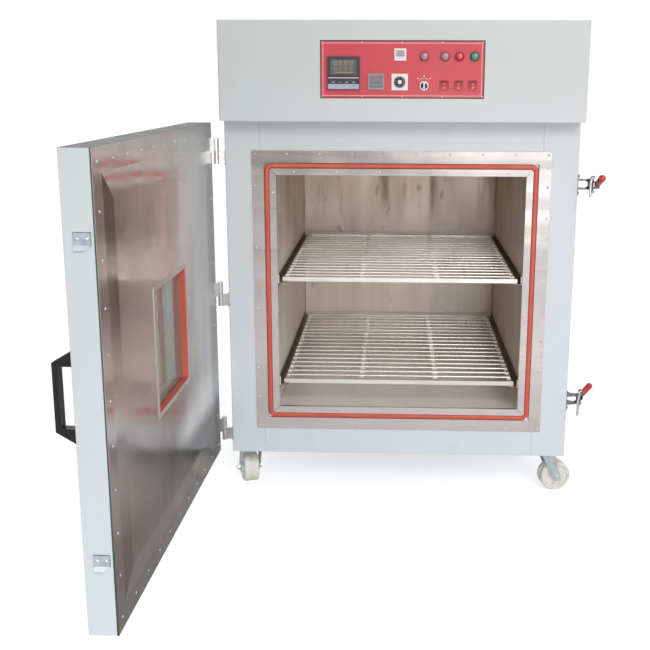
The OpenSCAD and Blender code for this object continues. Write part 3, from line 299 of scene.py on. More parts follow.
def moulded(name, color, roughness, **sockets):
    """Moulded plastic with a fine spark texture and faint wear."""
    plastic = Finish(name, color, roughness, **sockets)
    plastic.soft_edges(0.0006)
    plastic.tint(plastic.noise(45, 0.0, 0.25, detail=5), shade(color, 0.7))
    plastic.tint(plastic.times(plastic.edge_mask(0.0008), 0.18), rgb(214, 210, 208))
    plastic.rough(plastic.noise(60, roughness - 0.05, roughness + 0.1, detail=5))
    plastic.bump(plastic.noise(2600, 0, 1, detail=2), 0.00003, 0.5)
    return plastic.material


def silicone():
    """Orange-red silicone cord, slightly dusty and faded in patches."""
    rubber = Finish("silicone_cord", rgb(214, 100, 84), 0.5, Specular_IOR_Level=0.4, Subsurface_Weight=0.08)
    rubber.tint(rubber.noise(16, 0.0, 0.5, detail=5), rgb(196, 78, 62))
    rubber.tint(rubber.noise(6, 0.0, 0.3, detail=6, start=0.5, stop=0.8), rgb(232, 152, 138))
    rubber.rough(rubber.noise(40, 0.4, 0.62))
    rubber.bump(rubber.noise(500, 0, 1, detail=3), 0.00008, 0.5)
    return rubber.material


def panel_film():
    """Printed red panel: satin film with a slow drift of tone."""
    film = Finish("panel_film", rgb(208, 58, 70), 0.34, Coat_Weight=0.25, Coat_Roughness=0.18)
    film.tint(film.noise(3.2, 0.0, 0.5, detail=3), rgb(202, 66, 82))
    film.tint(film.noise(120, 0.0, 0.12, detail=6), rgb(170, 40, 54))
    film.rough(film.noise(20, 0.28, 0.42, detail=6))
    film.bump(film.noise(1500, 0, 1, detail=2), 0.00003, 0.4)
    return film.material


def lens(name, color, glow):
    """Pressed lens of a signal lamp: finely uneven, glossy and a little translucent."""
    glass = Finish(name, color, 0.12, Transmission_Weight=0.25, IOR=1.49, Coat_Weight=0.6,
                   Coat_Roughness=0.05)
    glass.tint(glass.noise(220, 0.0, 0.4, detail=3), glow)
    glass.rough(glass.noise(300, 0.08, 0.2, detail=3))
    glass.bump(glass.noise(420, 0, 1, detail=1), 0.0003, 0.5)
    return glass.material


def pane():
    """Toughened pane with a grey-green body tint and faint smears."""
    glass = Finish("pane_glass", rgb(206, 220, 214), 0.03, Transmission_Weight=0.92, IOR=1.5)
    glass.tint(glass.noise(6, 0.0, 0.4, detail=5), rgb(186, 204, 198))
    glass.rough(glass.noise(9, 0.02, 0.16, (1, 1, 0.4), 7, 0.45, 0.8))
    glass.bump(glass.noise(3, 0, 1, detail=1), 0.0006, 0.1)
    return glass.material


def wool():
    """Mineral wool, layered."""
    fibre = Finish("mineral_wool", rgb(226, 214, 178), 0.95)
    fibre.tint(fibre.noise(120, 0.0, 0.7, (1, 1, 4), 8), rgb(190, 172, 126))
    fibre.bump(fibre.noise(220, 0, 1, (1, 1, 5), 8), 0.002)
    return fibre.material


def nylon():
    """Cast off-white nylon tread with grey scuffs where it has rolled."""
    tread = Finish("nylon_tread", rgb(244, 242, 234), 0.42, Subsurface_Weight=0.1)
    tread.soft_edges(0.001)
    tread.tint(tread.noise(30, 0.0, 0.4, detail=6), rgb(214, 208, 190))
    tread.tint(tread.noise(70, 0.0, 0.55, detail=8, start=0.56, stop=0.72), rgb(150, 144, 132))
    tread.rough(tread.noise(40, 0.36, 0.6, detail=6))
    tread.bump(tread.noise(260, 0, 1, detail=4), 0.0002, 0.5)
    return tread.material


# Which way a sheet's grain runs: across, up or back
STEEL_WIDE = (0.03, 1, 1)
STEEL_TALL = (1, 1, 0.03)
STEEL_DEEP = (1, 0.03, 1)

finishes = {
    "painted_grey": painted("powder_coat", rgb(216, 221, 226)),
    "mineral_wool": wool(),
    "heater_foil": moulded("heater_foil", rgb(120, 60, 36), 0.5),
    "stainless": chamber_steel(),
    # The frame's top colour is painted shade below the head.
    "stainless_frame": brushed("frame_steel", rgb(221, 213, 212), 0.3, STEEL_WIDE, rgb(200, 184, 176),
                               metallic=0.82, top=rgb(104, 101, 97), wave=0.3),
    "door_stainless": door_steel(),
    "dark_stainless": brushed("rail_steel", rgb(128, 114, 102), 0.4, STEEL_DEEP),
    "shelf_steel": brushed("shelf_wire", rgb(240, 236, 230), 0.26, STEEL_WIDE, rgb(206, 190, 168),
                           metallic=0.85),
    "window_steel": brushed("window_steel", rgb(212, 212, 208), 0.3, STEEL_TALL),
    "hinge_steel": brushed("hinge_steel", rgb(206, 206, 204), 0.22, STEEL_TALL),
    "bright_zinc": zinc("bright_zinc", rgb(222, 229, 238), 0.28),
    "dark_zinc": zinc("dark_zinc", rgb(120, 116, 120), 0.34),
    "silicone_red": silicone(),
    "panel_red": panel_film(),
    "controller_plastic": moulded("controller_case", rgb(42, 44, 48), 0.34),
    "timer_plastic": moulded("timer_case", rgb(160, 140, 146), 0.22, Coat_Weight=0.4),
    "white_plastic": moulded("white_plastic", rgb(240, 236, 236), 0.36),
    "black_plastic": moulded("black_plastic", rgb(13, 13, 15), 0.34),
    "key_grey": moulded("key_plastic", rgb(62, 60, 74), 0.4),
    "clear_lens": lens("clear_lens", rgb(176, 110, 126), rgb(226, 190, 200)),
    "red_lens": lens("red_lens", rgb(214, 30, 34), rgb(244, 90, 80)),
    "green_lens": lens("green_lens", rgb(38, 140, 116), rgb(120, 200, 180)),
    "red_plastic": moulded("red_plastic", rgb(208, 34, 34), 0.2, Coat_Weight=0.6),
    "chrome": zinc("chrome_ring", rgb(232, 228, 228), 0.14),
    "white_nylon": nylon(),
    "window_pane": pane(),
}

for subpart in frame["record"]["subparts"]:
    mesh = frame["nodes"][subpart["node"]].data
    mesh.materials.clear()
    mesh.materials.append(finishes[subpart["material_slot"]])


# ---------- mesh helpers ----------

TURN_STEPS = 48
CORNER_STEPS = 4
ROD_SIDES = 10


def to_mesh(name, shape):
    """The finished mesh of a bmesh."""
    mesh = bpy.data.meshes.new(name)
    shape.normal_update()
    shape.to_mesh(mesh)
    shape.free()
    return mesh


def piece(name, shape, material, body, place=None, smooth=False):
    """A new object made of shape and finished with material, which rides on a body."""
    mesh = to_mesh(name, shape)
    mesh.materials.append(material)
    if smooth:
        mesh.shade_smooth()
    thing = bpy.data.objects.new(name, mesh)
    bpy.context.scene.collection.objects.link(thing)
    if place:
        thing.matrix_world = place
    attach(thing, body)


def add_block(shape, low, high, chamfer):
    """Adds a box between two corners, its edges rounded by chamfer."""
    low, high = Vector(low), Vector(high)
    box = Matrix.Translation((low + high) / 2) @ Matrix.Diagonal((*(high - low), 1))
    made = bmesh.ops.create_cube(shape, size=1, matrix=box)
    edges = {edge for vert in made["verts"] for edge in vert.link_edges}
    bmesh.ops.bevel(shape, geom=list(edges), offset=chamfer, segments=2, affect="EDGES", profile=0.7)


def add_prism(shape, outline, depth):
    """Adds a flat outline of (x, z) points, from y = 0 forward to y = -depth."""
    back = [shape.verts.new((x, 0, z)) for x, z in outline]
    front = [shape.verts.new((x, -depth, z)) for x, z in outline]
    shape.faces.new(back)
    shape.faces.new(list(reversed(front)))
    for i in range(len(outline)):
        j = (i + 1) % len(outline)
        shape.faces.new((back[i], front[i], front[j], back[j]))


def add_ring(shape, outer, inner, depth):
    """Adds a flat ring between two outlines of as many (x, z) points, from y = 0 forward to y = -depth."""
    loops = [[shape.verts.new((x, y, z)) for x, z in line] for line in (outer, inner) for y in (0, -depth)]
    outer_back, outer_front, inner_back, inner_front = loops
    bands = ((outer_front, outer_back), (inner_front, outer_front),
             (inner_back, inner_front), (outer_back, inner_back))
    for i in range(len(outer)):
        j = (i + 1) % len(outer)
        for a, b in bands:
            shape.faces.new((a[i], a[j], b[j], b[i]))


def add_rod(shape, start, end, r):
    """Adds a closed round rod between two points."""
    start, end = Vector(start), Vector(end)
    way = end - start
    turn = way.to_track_quat("Z", "Y").to_matrix().to_4x4()
    bmesh.ops.create_cone(shape, cap_ends=True, segments=ROD_SIDES, radius1=r, radius2=r, depth=way.length,
                          matrix=Matrix.Translation((start + end) / 2) @ turn)


def add_dome(shape, place, r, h, sides):
    """Adds a low dome standing on place, which is a matrix with Z as its axis."""
    made = bmesh.ops.create_uvsphere(shape, u_segments=sides, v_segments=6, radius=1)
    bmesh.ops.transform(shape, matrix=place @ Matrix.Diagonal((r, r, h, 1)), verts=made["verts"])


def rectangle(w, h, r=0.0, x=0.0, z=0.0):
    """Outline of a rectangle with round corners about (x, z)."""
    points = []
    for k, (sx, sz) in enumerate(((1, 1), (-1, 1), (-1, -1), (1, -1))):
        for step in range(CORNER_STEPS + 1):
            a = math.radians(90 * k + 90 * step / CORNER_STEPS)
            points.append((x + sx * (w / 2 - r) + r * math.cos(a), z + sz * (h / 2 - r) + r * math.sin(a)))
    return points


def around(count):
    """The angles of count places round a circle."""
    return [2 * math.pi * i / count for i in range(count)]


def circle(r, count, x=0.0, z=0.0):
    """Outline of a circle about (x, z), with count points."""
    return [(x + r * math.cos(a), z + r * math.sin(a)) for a in around(count)]


def lathe(profile):
    """Shape turned from (radius, height) points about Z."""
    shape = bmesh.new()
    rows = []
    for r, h in profile:
        if r < 1e-7:
            rows.append([shape.verts.new((0, 0, h))])
        else:
            rows.append([shape.verts.new((r * math.cos(a), r * math.sin(a), h)) for a in around(TURN_STEPS)])
    for low, high in zip(rows, rows[1:]):
        for i in range(TURN_STEPS):
            j = (i + 1) % TURN_STEPS
            corners = [low[i % len(low)], low[j % len(low)], high[j % len(high)], high[i % len(high)]]
            corners = list(dict.fromkeys(corners))
            if len(corners) > 2:
                shape.faces.new(corners)
    bmesh.ops.recalc_face_normals(shape, faces=shape.faces)
    return shape


# ---------- control panel ----------

PANEL_W = 0.486
PANEL_H = 0.168
# How thick a printed line, a display's film and a mark on a film are, and how deep a display is sunk
PRINT = 0.15 * MM
FILM = 0.4 * MM
MARK = 0.2 * MM
SUNK = 2.3 * MM

panel_low, panel_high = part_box("control_panel")
panel_face = panel_low.y
panel_mid_z = (panel_low.z + panel_high.z) / 2

ink_white = moulded("ink_white", rgb(250, 226, 226), 0.5)
ink_pink = moulded("ink_pink", rgb(244, 164, 172), 0.5)
# Dark colour of printed dots and joint lines, and of the painted shadow round the panel's film
dark_marks_and_painted_shadow = moulded("dark_marks_and_painted_shadow", rgb(70, 66, 66), 0.8)
display_film = moulded("display_film", rgb(84, 84, 74), 0.12, Coat_Weight=0.8, Coat_Roughness=0.04)
digit_grey = moulded("digit_grey", rgb(168, 162, 146), 0.4)
teal = moulded("key_teal", rgb(70, 138, 132), 0.4)
strip_silver = moulded("strip_silver", rgb(168, 176, 196), 0.3)
smoke = moulded("timer_window", rgb(132, 112, 120), 0.12, Coat_Weight=0.8, Coat_Roughness=0.05)
smoke_low = moulded("timer_window_low", rgb(98, 112, 122), 0.14, Coat_Weight=0.8, Coat_Roughness=0.05)
counter_film = moulded("counter_film", rgb(166, 160, 164), 0.2, Coat_Weight=0.5)


def on_panel(x, z, depth=0.0):
    """Place on the panel's face at x from its middle, z from its centre, depth in front of it."""
    return Matrix.Translation((x, panel_face - depth, panel_mid_z + z))


def middle(node):
    """Where the middle of a node lies on the panel, as x and z for on_panel."""
    low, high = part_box(node)
    return (low.x + high.x) / 2, (low.z + high.z) / 2 - panel_mid_z


def front_of(node):
    """How far a node stands in front of the panel's face."""
    return panel_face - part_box(node)[0].y


def panel_border():
    """Printed border line, and a dark line of painted shadow round the edge of the film, where it sits in its
    recess.
    """
    # The second line is painted shadow round the film's edge.
    for name, ink, slot, outer, inner, r, depth in (
            ("panel_border", ink_pink, "white_plastic", 0.014, 0.019, 0.001, PRINT),
            ("panel_shadow_line", dark_marks_and_painted_shadow, "black_plastic", 0.0002, 0.006, 0, 2 * PRINT)):
        shape = bmesh.new()
        add_ring(shape, rectangle(PANEL_W - outer, PANEL_H - outer, r),
                 rectangle(PANEL_W - inner, PANEL_H - inner, r), depth)
        piece(name, shape, ink, "oven", on_panel(0, 0))


# The bars of a figure 8: across and up in half widths and half heights, and whether the bar lies or stands
SEGMENTS = ((0, 1, "lies"), (0, 0, "lies"), (0, -1, "lies"),
            (-1, 0.5, "stands"), (1, 0.5, "stands"), (-1, -0.5, "stands"), (1, -0.5, "stands"))
DIGIT_LEAN = 0.08


def add_digit(shape, x, z, w, h, bar):
    """Adds the seven pointed bars of an unlit figure 8, which leans slightly."""
    tip = bar / 2
    for across, up, way in SEGMENTS:
        px = x + across * w / 2 + up * h / 2 * DIGIT_LEAN
        pz = z + up * h / 2
        if way == "lies":
            half = w / 2 - bar * 0.7
            outline = [(px - half, pz - tip), (px + half, pz - tip), (px + half + tip, pz),
                       (px + half, pz + tip), (px - half, pz + tip), (px - half - tip, pz)]
        else:
            half = h / 4 - tip
            outline = [(px - tip, pz - half), (px, pz - half - tip), (px + tip, pz - half),
                       (px + tip, pz + half), (px, pz + half + tip), (px - tip, pz + half)]
        add_prism(shape, outline, MARK)


DISPLAY = (0.0776, 0.0436, 0.001)
DISPLAY_UP = 0.018
DIGITS = 4
DIGIT_STEP = 0.0155
DIGIT_SHIFT = -0.001
# The two rows of digits: height on the display, then a digit's width, height and bar
VALUE_ROW = (0.0115, 0.0085, 0.0125, 0.0014)
SETTING_ROW = (-0.0055, 0.0065, 0.0085, 0.0008)
STATE_MARKS = 11
STATE_MARK = (0.0034, 0.0026)
STATE_STEP = 0.0054
STATE_ROW = -0.0155
UNIT_DOT = 0.0013
UNIT_DOTS = ((-0.0345, 0.0115), (-0.0345, -0.0035))
LINE = (0.090, 0.0022)
LINE_DOWN = 0.0135
STRIP = Vector((0.046, 0.0002, 0.0075))
STRIP_BACK = 0.0008
STRIP_DOWN = 0.0385
KEY_MARK = (0.0028, 0.0006)


def controller_face():
    """The controller's unlit display, the line and the silver strip below it, and a mark on each key."""
    x, z = middle("temperature_controller")
    front = front_of("temperature_controller")
    window = on_panel(x, z + DISPLAY_UP, front - SUNK)
    shape = bmesh.new()
    add_prism(shape, rectangle(*DISPLAY), FILM)
    piece("controller_window", shape, display_film, "oven", window)
    shape = bmesh.new()
    for i in range(DIGITS):
        digit_x = (i - (DIGITS - 1) / 2) * DIGIT_STEP + DIGIT_SHIFT
        for row, w, h, bar in (VALUE_ROW, SETTING_ROW):
            add_digit(shape, digit_x, row, w, h, bar)
    for i in range(STATE_MARKS):
        mark_x = (i - (STATE_MARKS - 1) / 2) * STATE_STEP
        add_prism(shape, rectangle(*STATE_MARK, x=mark_x, z=STATE_ROW), MARK)
    for dot_x, row in UNIT_DOTS:
        add_prism(shape, circle(UNIT_DOT, 12, dot_x, row), MARK)
    piece("controller_digits", shape, digit_grey, "oven",
          window @ Matrix.Translation((0, -FILM, 0)))
    shape = bmesh.new()
    add_prism(shape, rectangle(*LINE), FILM)
    piece("controller_line", shape, ink_white, "oven", on_panel(x, z - LINE_DOWN, front))
    shape = bmesh.new()
    add_block(shape, (-STRIP.x, -STRIP_BACK, -STRIP.z), STRIP, 0.0004)
    piece("controller_strip", shape, strip_silver, "oven", on_panel(x, z - STRIP_DOWN, front))
    for i in range(4):
        low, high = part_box(f"controller_key_{i + 1}")
        width, ink = (0.009, teal) if i == 1 else (0.005, ink_white)
        shape = bmesh.new()
        add_prism(shape, rectangle(width, *KEY_MARK), MARK)
        place = Matrix.Translation(((low.x + high.x) / 2, low.y, (low.z + high.z) / 2))
        piece(f"key_mark_{i + 1}", shape, ink, f"key_{i + 1}", place)


TIMER_W = 0.0372
TIMER_SPLIT = -0.001
TIMER_HALF_H = 0.0175
TIMER_DOTS = 5
TIMER_DOT = 0.001
TIMER_DOT_STEP = 0.0056
TIMER_DOT_ROW = -0.0095


def timer_face():
    """Two smoked windows, one above the other, and a row of dots in the lower one."""
    x, z = middle("timer")
    window = on_panel(x, z, front_of("timer") - SUNK)
    for name, film, low, high in (("timer_window_upper", smoke, TIMER_SPLIT, TIMER_HALF_H),
                                  ("timer_window_lower", smoke_low, -TIMER_HALF_H, TIMER_SPLIT)):
        shape = bmesh.new()
        add_prism(shape, rectangle(TIMER_W, high - low, z=(low + high) / 2), FILM)
        piece(name, shape, film, "oven", window)
    shape = bmesh.new()
    for i in range(TIMER_DOTS):
        dot_x = (i - (TIMER_DOTS - 1) / 2) * TIMER_DOT_STEP
        add_prism(shape, circle(TIMER_DOT, 12, dot_x, TIMER_DOT_ROW), MARK)
    piece("timer_dots", shape, ink_white, "oven", window @ Matrix.Translation((0, -FILM, 0)))


COUNTER_WINDOW = (0.0235, 0.0175, 0.0006)
COUNTER_UP = 0.003
COUNTER_KEYS = 4
COUNTER_KEY = (0.0032, 0.0022, 0.0005)
COUNTER_KEY_STEP = 0.0055
COUNTER_KEY_ROW = -0.0105


def counter_face():
    """The counter's window, and the four small keys below it."""
    x, z = middle("counter")
    front = front_of("counter")
    shape = bmesh.new()
    add_prism(shape, rectangle(*COUNTER_WINDOW), FILM)
    piece("counter_window", shape, counter_film, "oven",
          on_panel(x, z + COUNTER_UP, front - SUNK))
    shape = bmesh.new()
    for i in range(COUNTER_KEYS):
        key_x = (i - (COUNTER_KEYS - 1) / 2) * COUNTER_KEY_STEP
        add_prism(shape, rectangle(*COUNTER_KEY, key_x, COUNTER_KEY_ROW), 0.0005)
    piece("counter_keys", shape, strip_silver, "oven", on_panel(x, z, front))


LIMITER_TURN = 135
LIMITER_DOTS = 8
LIMITER_DIAL_R = 0.0192
SKIRT_MARKS = 10
SKIRT_R = 0.0122
SKIRT_FRONT = 0.0064
SKIRT_MARK = (0.0014, 0.0006)  # half its width and half its height


def limiter_face():
    """Dots round the limiter's dial plate, marks round its knob's skirt, and the knob's white cap."""
    x, z = middle("limiter_knob")
    plate = front_of("limiter_plate")
    shape = bmesh.new()
    for i in range(LIMITER_DOTS):
        a = math.radians(90 - LIMITER_TURN + 2 * LIMITER_TURN * i / (LIMITER_DOTS - 1))
        dot = circle(0.0007, 10, LIMITER_DIAL_R * math.cos(a), LIMITER_DIAL_R * math.sin(a))
        add_prism(shape, dot, PRINT)
    piece("limiter_scale", shape, dark_marks_and_painted_shadow, "oven", on_panel(x, z, plate))
    shape = bmesh.new()
    for i in range(SKIRT_MARKS):
        a = 2 * math.pi * (i + 0.5) / SKIRT_MARKS
        outward = Vector((math.cos(a), math.sin(a)))
        half = Vector((-math.sin(a), math.cos(a))) * SKIRT_MARK[0]
        centre, out = outward * SKIRT_R, outward * SKIRT_MARK[1]
        corners = (centre - half - out, centre + half - out, centre + half + out, centre - half + out)
        add_prism(shape, [tuple(corner) for corner in corners], PRINT)
    piece("limiter_ring_marks", shape, ink_white, "limiter_knob_b",
          on_panel(x, z, plate + SKIRT_FRONT))
    cap = lathe([(0, 0.0012), (0.004, 0.001), (0.0062, 0.0002), (0.0066, -0.0006), (0.0066, -0.0012)])
    piece("limiter_cap", cap, finishes["white_plastic"], "limiter_knob_b",
          on_panel(x, z, front_of("limiter_knob")) @ FORWARD, smooth=True)


SELECTOR_BAR = Vector((0.0022, 0.0002, 0.0092))
SELECTOR_ARC = (48, 132)  # degrees from the right
SELECTOR_ARC_STEPS = 16
SELECTOR_INNER_R = 0.0213
SELECTOR_OUTER_R = 0.0225
SELECTOR_STOPS = (50, 90, 130)
SELECTOR_DOT = (0.0034, 0.0034, 0.001)
SELECTOR_DOT_R = 0.0285


def selector_face():
    """White bar on the selector's knob, and an arc and three dots above it on the panel."""
    x, z = middle("selector_knob")
    shape = bmesh.new()
    add_block(shape, (-SELECTOR_BAR.x, -0.0004, -SELECTOR_BAR.z), SELECTOR_BAR, 0.0002)
    piece("selector_bar", shape, finishes["white_plastic"], "selector_knob_b",
          on_panel(x, z, front_of("selector_knob")))
    start, stop = SELECTOR_ARC
    step = (stop - start) / SELECTOR_ARC_STEPS
    arc = [math.radians(start + step * i) for i in range(SELECTOR_ARC_STEPS + 1)]
    outer = [(SELECTOR_OUTER_R * math.cos(a), SELECTOR_OUTER_R * math.sin(a)) for a in arc]
    inner = [(SELECTOR_INNER_R * math.cos(a), SELECTOR_INNER_R * math.sin(a)) for a in arc]
    shape = bmesh.new()
    add_prism(shape, outer + list(reversed(inner)), PRINT)
    for angle in SELECTOR_STOPS:
        a = math.radians(angle)
        dot = rectangle(*SELECTOR_DOT, SELECTOR_DOT_R * math.cos(a), SELECTOR_DOT_R * math.sin(a))
        add_prism(shape, dot, PRINT)
    piece("selector_scale", shape, ink_white, "oven", on_panel(x, z))


LAMP_ROW = 0.038
LAMP_RIM = 0.0106
LAMP_RISE = 0.0042
FACETS = 12
FACET_R = 0.0011
FACET_RING = 0.0078
LENS_SINK = 0.0014
# Name, node, the lamps' x on the panel, colours of collar and cap, and roughness of the cap and of its coat
LAMPS = (
    ("clear", "clear_lamps", (0.065, 0.126), rgb(126, 62, 76), rgb(176, 122, 140), 0.1, 0.04),
    ("red", "heating_lamp", (0.1685,), rgb(150, 22, 26), rgb(222, 28, 36), 0.08, 0.03),
    ("green", "ready_lamp", (0.213,), rgb(18, 52, 46), rgb(34, 140, 120), 0.08, 0.03),
)


def lamp_trim():
    """Each lamp's domed cap, the ring of prisms in its lens and a dark collar round it."""
    collar = [(0.0142, 0), (0.0142, 0.0034), (0.0132, 0.0056), (0.0118, 0.0062), (0.0116, 0.0050)]
    arc = [math.radians(15 * k) for k in range(6)]
    dome = [(LAMP_RIM * math.cos(a), LAMP_RISE * math.sin(a)) for a in arc]
    dome = [(LAMP_RIM, -0.001)] + dome + [(0, LAMP_RISE)]
    for name, node, places, ring_color, cap_color, roughness, coat in LAMPS:
        cap = moulded(f"lamp_cap_{name}", cap_color, roughness, Coat_Weight=1.0, Coat_Roughness=coat)
        ring = moulded(f"lamp_collar_{name}", ring_color, 0.25, Coat_Weight=0.6)
        front, slot = front_of(node), name + "_lens"
        for i, x in enumerate(places):
            piece(f"lamp_collar_{name}_{i + 1}", lathe(collar), ring, "oven",
                  on_panel(x, LAMP_ROW) @ FORWARD, smooth=True)
            shape = bmesh.new()
            for a in around(FACETS):
                facet = circle(FACET_R, 8, FACET_RING * math.cos(a), FACET_RING * math.sin(a))
                add_prism(shape, facet, 0.0006)
            piece(f"lamp_facets_{name}_{i + 1}", shape, finishes[slot], "oven",
                  on_panel(x, LAMP_ROW, front - LENS_SINK))
            piece(f"lamp_dome_{name}_{i + 1}", lathe(dome), cap, "oven",
                  on_panel(x, LAMP_ROW, front) @ FORWARD, smooth=True)


ROCKER_ROW = -0.046
ROCKER_TILT = 7
ROCKER_VEE = 10.7
ROCKER_PIVOT = 0.004
ROCKER_FACE = Vector((0, -0.0075, 0.0056))
BEZEL_OUTER = (0.0262, 0.0302, 0.0022)
BEZEL_INNER = (0.0200, 0.0240, 0.0012)


def rocker_trim():
    """Darker bezel round each rocker, and on its two faces a moulded line and ring."""
    bezel = moulded("rocker_bezel", rgb(128, 18, 24), 0.24, Coat_Weight=0.5)
    for i in (1, 2, 3):
        x = middle(f"rocker_{i}")[0]
        shape = bmesh.new()
        add_ring(shape, rectangle(*BEZEL_OUTER), rectangle(*BEZEL_INNER), 0.0008)
        piece(f"rocker_bezel_{i}", shape, bezel, "oven",
              on_panel(x, ROCKER_ROW, front_of("rocker_bezels")))
        line = bmesh.new()
        add_prism(line, rectangle(0.0011, 0.0046), PRINT)
        ring = bmesh.new()
        add_ring(ring, circle(0.0023, 20), circle(0.0014, 20), PRINT)
        rocker = on_panel(x, ROCKER_ROW, -ROCKER_PIVOT) @ Matrix.Rotation(math.radians(ROCKER_TILT), 4, "X")
        for name, side, shape in (("line", 1, line), ("ring", -1, ring)):
            face = rocker @ Matrix.Translation((0, ROCKER_FACE.y, side * ROCKER_FACE.z))
            face = face @ Matrix.Rotation(math.radians(side * ROCKER_VEE), 4, "X")
            piece(f"rocker_{name}_{i}", shape, ink_white, f"rocker_{i}_b", face)


panel_border()
controller_face()
timer_face()
counter_face()
limiter_face()
selector_face()
lamp_trim()
rocker_trim()


# ---------- latches, frame, chamber and shelves ----------

LEVER_REST = {"lower": 38, "upper": -80}
GRIP_AT = Vector((0.032, 0.014, 0))
GRIP_TILT = 32
GRIP_R = 0.0108
GRIP_DOME = 0.0473

grip_red = moulded("grip_red", rgb(196, 20, 34), 0.18, Coat_Weight=0.7, Coat_Roughness=0.06)
bead_steel = brushed("bead_steel", rgb(196, 184, 170), 0.4, (1, 1, 1), rgb(150, 120, 92), metallic=0.7)


def latch_grips():
    """Red plastic sleeve over each lever's grip, and a zinc collar at its neck."""
    sleeve = [(0.0048, 0.0058), (0.0086, 0.0074), (0.0092, 0.0092), (GRIP_R, GRIP_DOME)]
    dome = [math.radians(10 * k) for k in range(1, 10)]
    sleeve += [(GRIP_R * math.cos(a), GRIP_DOME + GRIP_R * math.sin(a)) for a in dome]
    collar = [(0.0050, 0.0012), (0.0066, 0.0018), (0.0066, 0.0054), (0.0050, 0.0060)]
    for side, rest in LEVER_REST.items():
        pivot = Matrix.Translation(Vector(joints[f"lever_{side}_turn"]["pos_m"]))
        place = pivot @ Matrix.Rotation(math.radians(rest), 4, "Z") @ Matrix.Translation(GRIP_AT)
        place = place @ Matrix.Rotation(math.radians(90 - GRIP_TILT), 4, "Y")
        shape = lathe(sleeve)
        bmesh.ops.transform(shape, matrix=place, verts=shape.verts)
        piece(f"latch_grip_{side}", shape, grip_red, f"lever_{side}", smooth=True)
        piece(f"latch_collar_{side}", lathe(collar), finishes["bright_zinc"], f"lever_{side}",
              place, smooth=True)


WALL = 0.003
LIP = 0.006
FLANGE = 0.0212
RIVETS = 6
RIVET_R = 0.0034
RIVET_H = 0.0012
MITRE = 0.014
MITRE_GAP = 0.0008


def mouth():
    """Half the width and height of the chamber's mouth, and the place of its middle on the front frame."""
    low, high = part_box("chamber")
    inset = WALL + LIP
    middle_at = Vector((0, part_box("front_frame")[0].y, (low.z + high.z) / 2))
    return (high.x - low.x) / 2 - inset, (high.z - low.z) / 2 - inset, middle_at


def flange_rivets():
    """Rivets along the flange between the seal and the mouth, one ring of them."""
    half_w, half_h, middle_at = mouth()
    half_w, half_h = half_w + FLANGE / 2, half_h + FLANGE / 2
    shape = bmesh.new()
    for k in range(RIVETS):
        t = 2 * (k + 0.5) / RIVETS - 1
        for side in (-1, 1):
            for x, z in ((t * half_w, side * half_h), (side * half_w, t * half_h)):
                place = Matrix.Translation(middle_at + Vector((x, 0, z))) @ FORWARD
                add_dome(shape, place, RIVET_R, RIVET_H, 10)
    piece("flange_rivets", shape, finishes["window_steel"], "oven", smooth=True)


def flange_mitres():
    """Joint lines across the corners of the flange, from the mouth out to the seal."""
    half_w, half_h, middle_at = mouth()
    shape = bmesh.new()
    for sx in (-1, 1):
        for sz in (-1, 1):
            near = Vector((sx * half_w, sz * half_h))
            far = near + Vector((sx, sz)) * MITRE
            side = Vector((-sz, sx)) * MITRE_GAP / 2
            add_prism(shape, [tuple(p) for p in (near - side, far - side, far + side, near + side)], PRINT)
    piece("flange_mitres", shape, dark_marks_and_painted_shadow, "oven", Matrix.Translation(middle_at))


BEAD = 0.0026
BEAD_START = 0.02


def chamber_beads():
    """Weld beads along the chamber's back corners and along its floor and roof."""
    low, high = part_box("chamber")
    x, back = high.x - WALL, high.y - WALL
    levels = low.z + WALL, high.z - WALL
    shape = bmesh.new()
    for side in (-1, 1):
        add_rod(shape, (side * x, back, levels[0]), (side * x, back, levels[1]), BEAD)
        for z in levels:
            add_rod(shape, (side * x, BEAD_START, z), (side * x, back, z), BEAD)
    for z in levels:
        add_rod(shape, (-x, back, z), (x, back, z), BEAD)
    piece("chamber_beads", shape, bead_steel, "oven", smooth=True)


SHELF_BAR = 0.014
ROD = 0.006
RODS = 19
BARS = 4
UPSTAND = 0.003
WELD_R = 0.0032
WELD_H = 0.0022


def shelf_welds():
    """Weld nuggets on both sides of each rod, where it crosses a flat bar."""
    for level in ("lower", "upper"):
        low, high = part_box(f"shelf_{level}")
        bay = (high.x - low.x - SHELF_BAR) / (BARS - 1)
        reach = (high.y - low.y - 2 * SHELF_BAR - ROD) / 2
        bar_top = high.z - UPSTAND - ROD
        shape = bmesh.new()
        for i in range(BARS):
            x = low.x + SHELF_BAR / 2 + i * bay
            for k in range(RODS):
                y = (low.y + high.y) / 2 + reach * (2 * k / (RODS - 1) - 1)
                for side in (-1, 1):
                    place = Matrix.Translation((x, y + side * ROD / 2, bar_top))
                    add_dome(shape, place, WELD_R, WELD_H, 8)
        piece(f"shelf_welds_{level}", shape, finishes["shelf_steel"], f"shelf_{level}_b",
              smooth=True)


SHELF_STEP = 0.342
TAB_H = 0.0278
TAB_OUTER = 0.0026
TAB_INNER = 0.0092


def rail_tabs():
    """Bright sheared faces on the upturned tabs at the rails' front ends."""
    low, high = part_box("shelf_rails")
    shape = bmesh.new()
    for top in (high.z, high.z - SHELF_STEP):
        for side in (-1, 1):
            left, right = sorted(side * (high.x - edge) for edge in (TAB_OUTER, TAB_INNER))
            add_block(shape, (left, low.y - 0.0005, top - TAB_H), (right, low.y + 0.0002, top), 0.0002)
    piece("rail_tabs", shape, finishes["shelf_steel"], "oven")


# ---------- door ----------

